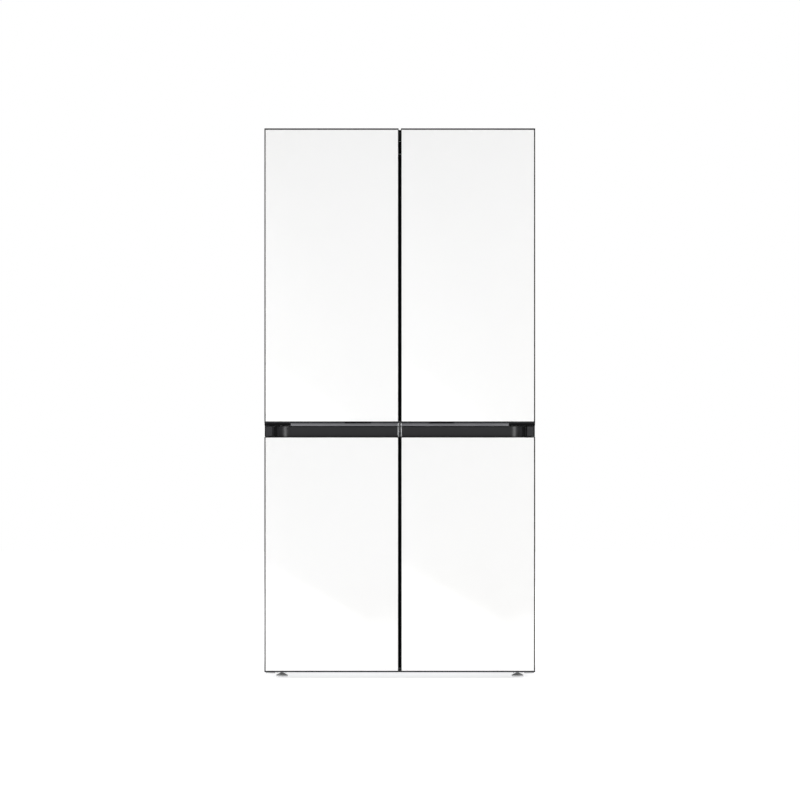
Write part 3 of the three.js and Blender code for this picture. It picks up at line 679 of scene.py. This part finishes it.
def softened(node: str, finish: Finish, width: float, body: str) -> bpy.types.Object:
    """A frame node with its sharp edges rounded over.

    Args:
        node: the node, which the new piece replaces.
        finish: its finish.
        width: the rounding's width.
        body: the body that it moves with.

    Returns:
        The new object.
    """
    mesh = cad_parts[node].data.copy()
    mesh.name = f"{node}_finished"
    shape = bmesh.new()
    shape.from_mesh(mesh)
    bmesh.ops.remove_doubles(shape, verts=shape.verts, dist=1e-5)
    bmesh.ops.dissolve_limit(shape, angle_limit=math.radians(0.5), verts=shape.verts, edges=shape.edges)
    shape.to_mesh(mesh)
    shape.free()
    piece = finished(mesh, finish, body, (node,), 30.0)
    rounding = piece.modifiers.new("rounded_edges", "BEVEL")
    rounding.width = width
    rounding.segments = 2
    rounding.limit_method = "ANGLE"
    rounding.angle_limit = math.radians(35)
    rounding.use_clamp_overlap = True
    rounding.harden_normals = False
    return piece


def dress(node: str, finish: Finish) -> None:
    """Gives a frame node its finish."""
    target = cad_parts[node]
    target.data.materials.clear()
    target.data.materials.append(finish.material())


# ---------------------------------------------------------------- doors


class Level(Enum):
    """The two rows of doors."""

    UPPER = "upper"
    LOWER = "lower"


@dataclass
class Door:
    """One door: glass, frame, liner, gasket and what hangs on them."""

    level: Level
    side: int  # -1 for the left
    glass_edge: float = 0.8 * MM
    shade_ring_inset: float = 0.85 * MM  # how far the glass stands in from its recess on each side; a matte black ring fills that width, a black glass edge that also paints the shade round the pane
    gasket_width: float = 14.0 * MM
    gasket_waist: float = 1.5 * MM  # how far the gasket narrows between foot, waist and bulb
    lug: float = 9.0 * MM
    bin_trim: float = 11.0 * MM

    @property
    def body(self) -> str:
        """The door's body name."""
        return f"{self.level.value}_{'left' if self.side < 0 else 'right'}_door"

    def build(self) -> None:
        """Makes the whole door."""
        self.glass()
        softened(f"{self.body}_body", CHARCOAL_FRAME, 0.5 * MM, self.body)
        softened(f"{self.body}_liner", WHITE_PLASTIC, 2.5 * MM, self.body)
        self.gasket()
        names = [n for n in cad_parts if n.startswith(f"{self.body}_bin")]
        for name in sorted(names):
            self.bin(name)
        if self.level is Level.UPPER:
            self.grip_and_dark_strips()
            self.top_cap()
        else:
            self.handle_lining()

    def glass(self) -> None:
        """Makes the glass and a matte black ring round its edge: a flat strip carried round the pane, a black
        glass edge that also paints the shade between pane and frame.
        """
        low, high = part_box(f"{self.body}_glass")
        inset = np.array([self.shade_ring_inset, 0.0, self.shade_ring_inset])
        Slab(f"{self.body}_glass_panel", low + Vector(inset), high - Vector(inset), WHITE_GLASS, self.body,
             corner=1.2 * MM, edge=self.glass_edge, replaces=(f"{self.body}_glass",)).build()
        # The ring is partly the glass's real black edge and partly painted shade round the pane.
        center = ((low.x + high.x) / 2, (low.z + high.z) / 2)
        loop = rounded_loop(center, (high.x - low.x, high.z - low.z), 1.6 * MM)
        inner = -self.shade_ring_inset + 0.05 * MM
        back, front = -high.y, -low.y - 0.1 * MM
        profile = np.array([[0.0, back], [0.0, front], [inner, front], [inner, back]])
        grid = Facing.FRONT.place(carried(loop, profile))
        finished(grid_mesh(f"{self.body}_glass_edge_shade_ring", grid, closed_rings=True), SHADOW_BLACK, self.body)

    def gasket(self) -> None:
        """Makes the gasket: a foot, a narrow waist and a magnet bulb, carried round the door."""
        low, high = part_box(f"{self.body}_gasket")
        wide = self.gasket_width
        center = ((low.x + high.x) / 2, (low.z + high.z) / 2)
        loop = rounded_loop(center, (high.x - low.x - wide, high.z - low.z - wide), 5 * MM, 6)
        t = np.linspace(0, 1, 15)
        half = wide / 2 - 0.8 * MM - self.gasket_waist * (1 - np.cos(4 * math.pi * t)) / 2
        height = -high.y + t * (high.y - low.y)
        right = np.stack([half, height], -1)
        left = np.stack([-half, height], -1)[::-1]
        grid = Facing.FRONT.place(carried(loop, np.concatenate([right, left])))
        finished(grid_mesh(f"{self.body}_gasket_bellows", grid, closed_rings=True), GASKET, self.body,
                 (f"{self.body}_gasket",))

    def bin(self, node: str) -> None:
        """Makes a bin, the trim along its top edge and the lugs that it hangs on.

        Args:
            node: the bin's node.
        """
        low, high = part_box(node)
        softened(node, CLEAR_PLASTIC, 1.1 * MM, self.body)
        trim_low = (low.x + 2 * MM, high.y - 0.2 * MM, high.z - self.bin_trim)
        trim_high = (high.x - 2 * MM, high.y + 2.2 * MM, high.z - 1 * MM)
        Slab(f"{node}_rail", trim_low, trim_high, SATIN_TRIM, self.body, corner=3 * MM, edge=1 * MM).build()
        for label, edge, out in (("outer", high.x, 1), ("inner", low.x, -1)):
            start = edge + out * 0.1 * MM
            Slab(f"{node}_lug_{label}", (start, low.y + 4 * MM, low.z + 12 * MM),
                 (start + out * 0.9 * MM, low.y + 22 * MM, low.z + 12 * MM + self.lug), TRIM_PLASTIC,
                 self.body, Facing.SIDE, corner=3 * MM, edge=0.3 * MM).build()

    def grip_and_dark_strips(self) -> None:
        """Makes the finger strip with its end, a matte black patch in the rim over it, and a matte black
        strip of painted shade beyond it.
        """
        low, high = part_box(f"{self.body}_grip")
        Slab(f"{self.body}_grip_strip", low, high, GRIP_METAL, self.body, corner=1.2 * MM, edge=0.7 * MM,
             replaces=(f"{self.body}_grip",)).build()
        # A matte black patch, 87 mm long, in the rim over the grip.
        middle, half = self.side * 141 * MM, 43.5 * MM
        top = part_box(f"{self.body}_glass")[0].z - 0.2 * MM
        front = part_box(f"{self.body}_body")[0].y
        Slab(f"{self.body}_rim_dark_patch", (middle - half, front - 0.6 * MM, top - 5 * MM),
             (middle + half, front - 0.05 * MM, top), SHADOW_BLACK, self.body, corner=1.2 * MM,
             edge=0.2 * MM).build()
        inner = low.x if self.side > 0 else high.x
        Slab(f"{self.body}_grip_end", (inner - self.side * 0.4 * MM, low.y - 1.4 * MM, low.z + 0.4 * MM),
             (inner + self.side * 2 * MM, low.y - 0.1 * MM, high.z - 0.4 * MM), SATIN_TRIM, self.body,
             corner=0.8 * MM, edge=0.5 * MM).build()

        # Matte black strip beyond the grip: painted shade under the door's bottom edge, over the body's face.
        shade_strip_low = (self.side * 369 * MM, front + 6 * MM, low.z + 0.4 * MM)
        shade_strip_high = (self.side * 455.5 * MM, front + 6.9 * MM, low.z + 8.6 * MM)
        Slab(f"{self.body}_grip_end_shade_strip", shade_strip_low, shade_strip_high, SHADOW_BLACK, self.body, corner=1.2 * MM,
             edge=0.2 * MM).build()

    def top_cap(self) -> None:
        """Makes the moulded cap on the door's top and its two plugs."""
        low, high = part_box(f"{self.body}_body")
        inner = min(abs(low.x), abs(high.x)) + 4 * MM
        outer = 394 * MM
        top = high.z - 7 * MM
        x = sorted((self.side * inner, self.side * outer))
        Slab(f"{self.body}_top_cap", (x[0], low.y + 10 * MM, top), (x[1], high.y - 3 * MM, top + 1.2 * MM),
             DARK_COVER, self.body, Facing.UP, corner=4 * MM, edge=0.6 * MM).build()
        for number, share in enumerate((0.2, 0.8)):
            center = (self.side * (inner + share * (outer - inner)), (low.y + high.y) / 2 + 3 * MM)
            dome = np.array([[5.5, 0.9], [5.5, 1.6], [4.6, 2.1], [2.5, 2.3], [0.4, 2.35]]) * MM
            round_piece(f"{self.body}_cap_plug_{number}", center, dome + np.array([0, top]), BLACK_TRIM,
                        self.body)

    def handle_lining(self) -> None:
        """Makes the lining of the handle wall, the bead at its inner end, and a matte black plate of painted
        shade at its outer end.

        In plan the wall runs straight from the middle of the appliance, turns forwards on an arc, and ends
        in a straight run at the arc's last angle. The lining is that line, thickened and drawn upwards.
        """
        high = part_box(f"{self.body}_body")[1]
        flat, wall, radius, last = 367 * MM, -328 * MM, 48 * MM, math.pi / 4
        thick, off, run = 0.9 * MM, 0.15 * MM, 11 * MM
        turn = np.append(np.linspace(0, last, 24), last)
        along = np.stack([flat + radius * np.sin(turn), wall - radius * (1 - np.cos(turn))], -1)
        along[-1] += run * np.array([math.cos(last), -math.sin(last)])
        front = np.stack([-np.sin(turn), -np.cos(turn)], -1)
        start = np.stack([np.linspace(7 * MM, flat - 1 * MM, 6), np.full(6, wall)], -1)
        along = np.concatenate([start, along])
        front = np.concatenate([np.tile([0.0, -1.0], (6, 1)), front])
        outline = np.concatenate([along + off * front, (along + (off + thick) * front)[::-1]])
        levels = np.array([high.z - 58 * MM, high.z - 1.2 * MM, high.z - 0.4 * MM])
        grid = np.empty((len(levels), len(outline), 3))
        grid[..., 0] = self.side * outline[None, :, 0]
        grid[..., 1] = outline[None, :, 1]
        grid[..., 2] = levels[:, None]
        finished(grid_mesh(f"{self.body}_handle_lining", grid), HANDLE_WALL, self.body)
        low_edge = high.z - 35.5 * MM
        Slab(f"{self.body}_handle_bead", (self.side * 4.2 * MM, wall - 1.6 * MM, low_edge),
             (self.side * 6.8 * MM, wall - 0.1 * MM, high.z - 0.6 * MM), SATIN_TRIM, self.body,
             corner=1 * MM, edge=0.6 * MM).build()
        # Matte black plate at the recess's outer end: painted shade on the body's front face there.
        Slab(f"{self.body}_handle_end_shade_plate", (self.side * 412 * MM, -353.2 * MM, low_edge),
             (self.side * 424.5 * MM, -352.1 * MM, high.z - 0.6 * MM), SHADOW_BLACK, self.body,
             corner=2 * MM, edge=0.4 * MM).build()


# ---------------------------------------------------------------- cabinet


@dataclass
class Cabinet:
    """The outer case with its covers, hinges, trims and back."""

    body: str = "cabinet"
    rib_depth: float = 2.2 * MM
    rib_width: float = 26 * MM

    def build(self) -> None:
        """Makes the case."""
        softened("outer_shell", PAINTED_SHEET, 0.45 * MM, self.body)
        softened("top_front_cover", DARK_COVER, 1.2 * MM, self.body)
        softened("toe_grille", BLACK_TRIM, 0.5 * MM, self.body)
        softened("mullion_guide", DARK_COVER, 0.8 * MM, self.body)
        softened("machine_cover", BLACK_ENAMEL, 0.4 * MM, self.body)
        softened("base_frame", ZINC_SHEET, 0.3 * MM, self.body)
        dress("insulation_foam", FOAM)
        dress("back_panel", ZINC_SHEET)
        for side in ("left", "right"):
            softened(f"top_hinge_{side}", HINGE_STEEL, 0.6 * MM, self.body)
            softened(f"bottom_hinge_{side}", HINGE_STEEL, 0.6 * MM, self.body)
            softened(f"middle_hinge_{side}", HINGE_CAP, 1.6 * MM, self.body)
        self.mid_rail()
        self.back_ribs()
        self.spacers()
        self.cover_screws()

    def mid_rail(self) -> None:
        """Makes the rail's trim, and matte black strips of painted shade at the band's ends and behind the
        doors' meeting gaps.
        """
        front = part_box("outer_shell")[0].y
        # Matte black strips at the band's outer ends: painted shade where the cabinet's pale side would show.
        for side in (-1, 1):
            Slab(f"band_end_shade_strip_{side + 2}", (side * 453.4 * MM, front - 39 * MM, 813.6 * MM),
                 (side * 455.8 * MM, front - 0.3 * MM, 851.4 * MM), SHADOW_BLACK, self.body, corner=0.8 * MM,
                 edge=0.6 * MM).build()
        # Matte black strips behind the doors' meeting gaps: painted shade, so the gaps read dark over the
        # pale cabinet front.
        for name, low, high in (("lower", 31, 812), ("upper", 869, 884), ("top", 1772, 1812)):
            Slab(f"{name}_gap_shade_strip", (-6 * MM, front - 2 * MM, low * MM),
                 (6 * MM, front - 0.3 * MM, high * MM), SHADOW_BLACK, self.body, corner=2 * MM,
                 edge=0.4 * MM).build()
        Slab("mid_rail_trim", (-405 * MM, front - 2.2 * MM, 828 * MM), (405 * MM, front - 0.2 * MM, 867 * MM),
             RAIL_GREY, self.body, corner=3 * MM, edge=0.8 * MM).build()

    def back_ribs(self) -> None:
        """Makes the pressed ribs of the back panel."""
        low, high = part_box("back_panel")
        back = high.y
        span = high.x - low.x
        for number, share in enumerate((0.12, 0.31, 0.5, 0.69, 0.88)):
            x = low.x + share * span
            Slab(f"back_rib_{number}", (x - self.rib_width / 2, back - 0.2 * MM, low.z + 60 * MM),
                 (x + self.rib_width / 2, back + self.rib_depth, high.z - 90 * MM), ZINC_SHEET, self.body,
                 corner=12 * MM, edge=1.6 * MM).build()

    def spacers(self) -> None:
        """Makes the two wall spacers near the top of the back."""
        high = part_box("back_panel")[1]
        profile = np.array([[13, 0], [13, 2.2], [11, 4.4], [9, 5.6], [6, 6.1], [0.5, 6.2]]) * MM
        profile[:, 1] = -(profile[:, 1] + high.y)
        for side in (-1, 1):
            round_piece(f"wall_spacer_{side + 2}", (side * 380 * MM, high.z - 40 * MM), profile, BLACK_TRIM,
                        self.body, Facing.FRONT)

    def cover_screws(self) -> None:
        """Makes the screw heads along the machine cover and the top cover, and a matte black block of painted
        shade at the cover's middle, over the doors' gap.
        """
        low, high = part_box("machine_cover")
        head = np.array([[4.2, 0], [4.2, 0.7], [3.6, 1.5], [2.0, 2.0], [0.3, 2.1]]) * MM
        for number, x in enumerate(np.linspace(low.x + 24 * MM, high.x - 24 * MM, 6)):
            profile = head.copy()
            profile[:, 1] = -(head[:, 1] + high.y)
            round_piece(f"machine_cover_screw_{number}", (x, high.z - 10 * MM), profile, HINGE_STEEL,
                        self.body, Facing.FRONT, steps=4)
        low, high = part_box("top_front_cover")
        # Matte black block: painted shade at the top of the doors' meeting gap.
        Slab("cover_centre_shade_block", (-25 * MM, low.y - 1 * MM, high.z - 0.2 * MM),
             (25 * MM, low.y + 9 * MM, high.z + 6.4 * MM), SHADOW_BLACK, self.body, corner=2.5 * MM,
             edge=1 * MM).build()
        for number, x in enumerate(np.linspace(low.x + 60 * MM, high.x - 60 * MM, 4)):
            round_piece(f"top_cover_screw_{number}", (x, high.y - 16 * MM), head + np.array([0, high.z]),
                        BLACK_TRIM, self.body, steps=4)


# ---------------------------------------------------------------- rooms


@dataclass
class FridgeRoom:
    """The upper room: its moulded liner, ledges, shelves, air duct and lamps."""

    body: str = "cabinet"
    wall: float = 2.0 * MM
    corner: float = 16.0 * MM
    shelves: tuple[str, ...] = ("shelf_upper", "shelf_lower", "crisper_cover")

    def build(self) -> None:
        """Makes the room."""
        self.liner()
        for name in self.shelves:
            self.shelf(name)
        self.duct()
        self.lamps()

    def liner(self) -> None:
        """Makes the liner: a tub open to the front, whose profile turns inwards at the back."""
        low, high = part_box("fridge_liner")
        center = ((low.x + high.x) / 2, (low.z + high.z) / 2)
        inner = (high.x - low.x - 2 * self.wall, high.z - low.z - 2 * self.wall)
        loop = rounded_loop(center, inner, self.corner, 6)
        turn = np.linspace(0, math.pi / 2, 6)
        cove = 0.9 * self.corner
        back, front = -high.y, -low.y
        inside = np.stack([-cove * (1 - np.sin(turn)), back + self.wall + cove * (1 - np.cos(turn))], -1)
        outside = inside + np.array([self.wall, -self.wall])
        profile = np.concatenate([outside, [[self.wall, front], [0.0, front]], inside[::-1]])
        grid = Facing.FRONT.place(carried(loop, profile))
        finished(grid_mesh("fridge_liner_tub", grid), WHITE_PLASTIC, self.body, ("fridge_liner",))
        Slab("fridge_sill", (-30 * MM, low.y, low.z + self.wall), (30 * MM, low.y + 32 * MM, low.z + 15 * MM),
             DARK_COVER, self.body, Facing.UP, corner=4 * MM, edge=1.5 * MM).build()

    def shelf(self, node: str) -> None:
        """Makes a shelf: tempered glass, front and back trims, and the ledges that it lies on.

        Args:
            node: the shelf's node.
        """
        low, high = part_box(node)
        top = high.z - 3 * MM
        plate = top - 5 * MM
        Slab(f"{node}_glass", (low.x + 5 * MM, low.y + 4 * MM, plate),
             (high.x - 5 * MM, high.y - 3 * MM, top), SHELF_GLASS, self.body, Facing.UP, corner=4 * MM,
             edge=0.7 * MM, replaces=(node,)).build()
        Slab(f"{node}_front_trim", (low.x + 0.5 * MM, low.y, low.z),
             (high.x - 0.5 * MM, low.y + 3.8 * MM, high.z), SATIN_TRIM, self.body, corner=3 * MM,
             edge=1.2 * MM).build()
        Slab(f"{node}_back_trim", (low.x + 2 * MM, high.y - 2.8 * MM, low.z + 2 * MM),
             (high.x - 2 * MM, high.y, high.z + 4 * MM), TRIM_PLASTIC, self.body, corner=3 * MM,
             edge=1 * MM).build()
        for side, x in ((-1, low.x), (1, high.x)):
            Slab(f"{node}_side_trim_{side + 2}", (x, low.y + 4 * MM, plate - 0.6 * MM),
                 (x - side * 4.8 * MM, high.y - 3 * MM, top + 1 * MM), TRIM_PLASTIC, self.body, Facing.SIDE,
                 corner=2 * MM, edge=0.8 * MM).build()
            Slab(f"{node}_ledge_{side + 2}", (x - side * 6 * MM, low.y + 10 * MM, plate - 9 * MM),
                 (x + side * 0.9 * MM, high.y - 1 * MM, plate - 0.9 * MM), WHITE_PLASTIC, self.body,
                 Facing.SIDE, corner=3 * MM, edge=1.5 * MM).build()

    def duct(self) -> None:
        """Makes the air duct's face, with a raised frame and louvres across each vent."""
        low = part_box("air_duct")[0]
        softened("air_duct", WHITE_PLASTIC, 3 * MM, self.body)
        for number, z in enumerate((1130, 1330, 1540, 1650)):
            for row in range(2):
                level = (z + 2.4 + 4 * row) * MM
                Slab(f"duct_louvre_{number}_{row}", (-68 * MM, low.y + 0.8 * MM, level),
                     (68 * MM, low.y + 5 * MM, level + 1.3 * MM), TRIM_PLASTIC, self.body, Facing.UP,
                     corner=1.5 * MM, edge=0.4 * MM).build()
        Slab("duct_lamp", (-60 * MM, low.y - 1.6 * MM, 1592 * MM),
             (60 * MM, low.y + 0.4 * MM, 1612 * MM), LAMP, self.body, corner=6 * MM, edge=0.8 * MM).build()

    def lamps(self) -> None:
        """Makes the ceiling lamp and the upright lamp on each side wall."""
        low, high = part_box("fridge_liner")
        Slab("ceiling_lamp", (-110 * MM, -150 * MM, high.z - 6 * MM),
             (110 * MM, -110 * MM, high.z - 2.3 * MM), LAMP, self.body, Facing.UP, corner=10 * MM,
             edge=1.2 * MM).build()
        for side, x in ((-1, low.x), (1, high.x)):
            face = x - side * 2.2 * MM
            Slab(f"wall_lamp_{side + 2}", (face, -232 * MM, 1120 * MM),
                 (face - side * 2.4 * MM, -214 * MM, 1700 * MM), LAMP, self.body, Facing.SIDE,
                 corner=8 * MM, edge=1 * MM).build()


@dataclass
class LowerRooms:
    """The freezer and flex rooms, with their drawers, and the crispers above."""

    def build(self) -> None:
        """Makes the rooms and everything that slides."""
        for room in ("freezer", "flex"):
            softened(f"{room}_liner", WHITE_PLASTIC, 0.9 * MM, "cabinet")
            self.lamp(room)
            for row in ("lower", "upper"):
                self.drawer(f"{room}_drawer_{row}", 20 * MM)
        for side in ("left", "right"):
            self.drawer(f"crisper_{side}", 16 * MM)

    def lamp(self, room: str) -> None:
        """Makes a room's ceiling lamp.

        Args:
            room: the room's name.
        """
        low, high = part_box(f"{room}_liner")
        middle = (low.x + high.x) / 2
        Slab(f"{room}_lamp", (middle - 60 * MM, -230 * MM, high.z - 5 * MM),
             (middle + 60 * MM, -205 * MM, high.z - 2.3 * MM), LAMP, "cabinet", Facing.UP, corner=8 * MM,
             edge=1 * MM).build()

    def drawer(self, node: str, trim: float) -> None:
        """Makes a drawer, with a trim across its front below the hand's dip and a white face under the trim.

        Args:
            node: the drawer's node and body.
            trim: the front trim's height.
        """
        low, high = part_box(node)
        softened(node, CLEAR_PLASTIC, 1.4 * MM, node)
        top = high.z - 30 * MM
        Slab(f"{node}_front_trim", (low.x + 14 * MM, low.y - 2 * MM, top - trim),
             (high.x - 14 * MM, low.y - 0.1 * MM, top), SATIN_TRIM, node, corner=5 * MM,
             edge=0.9 * MM).build()
        Slab(f"{node}_front_face", (low.x + 18 * MM, low.y - 1 * MM, low.z + 10 * MM),
             (high.x - 18 * MM, low.y - 0.1 * MM, top - trim - 4 * MM), WHITE_PLASTIC, node, corner=10 * MM,
             edge=0.4 * MM).build()


# ---------------------------------------------------------------- mullion, machine and feet


@dataclass
class Mullion:
    """The folding mullion on the upper left door."""

    body: str = "folding_mullion"
    strip: float = 6 * MM  # half the width of the painted-shade strip down its face

    def build(self) -> None:
        """Makes the mullion and a matte black strip of painted shade down its face, seen through the doors'
        gap; the strip stops short of the stud on top.
        """
        low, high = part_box("folding_mullion")
        softened("folding_mullion", CHARCOAL_FRAME, 1.2 * MM, self.body)
        # Matte black strip: painted shade in the line of the doors' meeting gap.
        Slab("mullion_shade_strip", (-self.strip, low.y - 0.2 * MM, low.z + 3 * MM),
             (self.strip, low.y - 0.02 * MM, high.z - 8 * MM), SHADOW_BLACK, self.body, corner=2 * MM,
             edge=0.08 * MM).build()


@dataclass
class Machine:
    """The compressor, condenser and fan behind the lower rooms."""

    body: str = "cabinet"
    fins: int = 56
    axis: tuple[float, float] = (240 * MM, 228 * MM)  # of the compressor's shell
    shell_middle: float = 131 * MM
    shell_half_height: float = 83.4 * MM
    shell_radius: float = 85.5 * MM

    def build(self) -> None:
        """Makes the machine."""
        self.compressor()
        dress("condenser", COPPER)
        self.fin_pack()
        softened("fan_shroud", BLACK_TRIM, 0.6 * MM, self.body)
        softened("condenser_fan", DARK_COVER, 0.5 * MM, "condenser_fan")

    def compressor(self) -> None:
        """Makes the welded shell, whose radius is a superellipse of its height, and its weld seam."""
        dress("compressor", BLACK_ENAMEL)
        t = np.linspace(-1, 1, 25)
        radius = self.shell_radius * (1 - np.abs(t) ** 2.6) ** 0.42
        shell = np.stack([np.maximum(radius, 1 * MM), self.shell_middle + self.shell_half_height * t], -1)
        round_piece("compressor_shell", self.axis, shell, BLACK_ENAMEL, self.body)
        seam = np.array([[84, 124], [87.5, 125], [88.6, 128], [87.5, 131], [84, 132]]) * MM
        round_piece("compressor_weld", self.axis, seam, BLACK_ENAMEL, self.body)
        Slab("compressor_terminal_box", (206 * MM, 313 * MM, 96 * MM), (262 * MM, 334 * MM, 152 * MM),
             BLACK_TRIM, self.body, corner=5 * MM, edge=3 * MM).build()

    def fin_pack(self) -> None:
        """Makes the condenser's fins: thin plates at equal steps along the tube's level passes."""
        low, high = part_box("condenser")
        x = np.linspace(low.x + 40 * MM, high.x - 40 * MM, self.fins)
        corners = np.array([[a, b, c] for a in (-1, 1) for b in (-1, 1) for c in (-1, 1)]) * 0.5
        size = np.array([0.4 * MM, 26 * MM, high.z - low.z - 22 * MM])
        middle = np.stack([x, np.full_like(x, 180 * MM), np.full_like(x, (low.z + high.z) / 2 + 6 * MM)], -1)
        points = (middle[:, None] + corners[None] * size).reshape(-1, 3)
        sides = np.array([[0, 1, 3, 2], [4, 6, 7, 5], [0, 4, 5, 1], [2, 3, 7, 6], [0, 2, 6, 4], [1, 5, 7, 3]])
        faces = (sides[None] + 8 * np.arange(self.fins)[:, None, None]).reshape(-1, 4)
        mesh = bpy.data.meshes.new("condenser_fins")
        mesh.from_pydata(points.tolist(), [], faces.tolist())
        finished(mesh, ALUMINIUM_FIN, self.body)


@dataclass
class Underside:
    """The feet and rollers."""

    def build(self) -> None:
        """Makes the feet and rollers."""
        for side in ("left", "right"):
            softened(f"front_foot_{side}", FOOT_GREY, 0.6 * MM, f"front_foot_{side}")
            softened(f"rear_roller_{side}", BLACK_TRIM, 1.0 * MM, f"rear_roller_{side}")


# ---------------------------------------------------------------- studio


@dataclass
class Studio:
    """The camera, the pale floor and the soft light."""

    lens: float = 150.0
    sensor: float = 36.0
    seen_width: float = 2.694  # what the view takes in at the doors' front
    height: float = 0.938
    aside: float = 0.0007

    def build(self) -> None:
        """Makes the studio."""
        scene = bpy.context.scene
        scene.view_settings.view_transform = "Standard"
        scene.view_settings.look = "None"
        self.camera(scene)
        self.floor()
        self.world(scene)
        self.lamp("left_softbox", (-3.4, -3.8, 1.5), (0.0, 0.0, 1.0), (2.0, 2.8), 76.0)
        self.lamp("right_softbox", (3.4, -3.8, 1.5), (0.0, 0.0, 1.0), (2.0, 2.8), 73.0)
        self.lamp("back_softbox", (0.5, 4.2, 3.2), (0.0, 0.0, 1.0), (3.0, 3.0), 70.0)

    def camera(self, scene: bpy.types.Scene) -> None:
        """Stands a level camera straight in front of the doors.

        Args:
            scene: the scene.
        """
        data = bpy.data.cameras.new("camera")
        data.lens = self.lens
        data.sensor_width = self.sensor
        data.clip_end = 100.0
        camera = bpy.data.objects.new("camera", data)
        distance = self.seen_width * self.lens / self.sensor
        camera.location = (self.aside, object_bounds()[0][1] - distance, self.height)
        camera.rotation_euler = (math.pi / 2, 0.0, 0.0)
        scene.collection.objects.link(camera)
        scene.camera = camera

    def floor(self) -> None:
        """Makes a wide pale floor with a slight drift of tone."""
        mesh = bpy.data.meshes.new("floor")
        reach = 9.0
        mesh.from_pydata([(-reach, -reach, 0), (reach, -reach, 0), (reach, reach, 0), (-reach, reach, 0)], [],
                         [(0, 1, 2, 3)])
        finish = Finish("pale_floor", "", (0.9, 0.9, 0.9), (0.88, 0.88, 0.885), 0.8, 0.05, relief_scale=60.0,
                        specular=0.1, glow=0.78)
        mesh.materials.append(finish.material())
        plane = bpy.data.objects.new("floor", mesh)
        bpy.context.scene.collection.objects.link(plane)
        plane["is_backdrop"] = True

    def world(self, scene: bpy.types.Scene) -> None:
        """Makes the surroundings: soft white light, and plain white where nothing stands.

        Args:
            scene: the scene.
        """
        world = bpy.data.worlds.new("studio")
        world.use_nodes = True
        scene.world = world
        shade = Shade(world.node_tree)
        soft = world.node_tree.nodes["Background"]
        soft.inputs["Color"].default_value = (1.0, 1.0, 1.0, 1.0)
        soft.inputs["Strength"].default_value = 0.5
        plain = shade.node("Background")
        plain.inputs["Strength"].default_value = 1.0
        plain.inputs["Color"].default_value = (1.0, 1.0, 1.0, 1.0)
        choose = shade.node("MixShader")
        shade.join(shade.node("LightPath").outputs["Is Camera Ray"], choose.inputs[0])
        shade.join(soft.outputs[0], choose.inputs[1])
        shade.join(plain.outputs[0], choose.inputs[2])
        shade.join(choose.outputs[0], world.node_tree.nodes["World Output"].inputs[0])

    def lamp(self, name: str, place: Point, aim: Point, size: tuple[float, float], power: float) -> None:
        """Adds a soft light.

        Args:
            name: its name.
            place: where it hangs.
            aim: what it faces.
            size: its width and height.
            power: its power in watts.
        """
        data = bpy.data.lights.new(name, "AREA")
        data.shape = "RECTANGLE"
        data.size, data.size_y = size
        data.energy = power
        lamp = bpy.data.objects.new(name, data)
        lamp.location = place
        away = np.array(place) - np.array(aim)
        flat = math.hypot(away[0], away[1])
        lamp.rotation_euler = (math.atan2(flat, away[2]), 0.0, math.atan2(away[0], -away[1]))
        bpy.context.scene.collection.objects.link(lamp)


def corners(bounds: Sequence[Sequence[float]]) -> list[list[float]]:
    """A box's two corners as plain lists."""
    return [[float(value) for value in corner] for corner in bounds]


def main() -> None:
    """Builds the refrigerator."""
    logging.basicConfig(level=logging.INFO, format="%(message)s")
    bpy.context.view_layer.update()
    build_groups()
    Studio().build()
    for level in Level:
        for side in (-1, 1):
            Door(level, side).build()
    for assembly in (Cabinet(), FridgeRoom(), LowerRooms(), Mullion(), Machine(), Underside()):
        assembly.build()


if __name__ == "__main__":
    main()
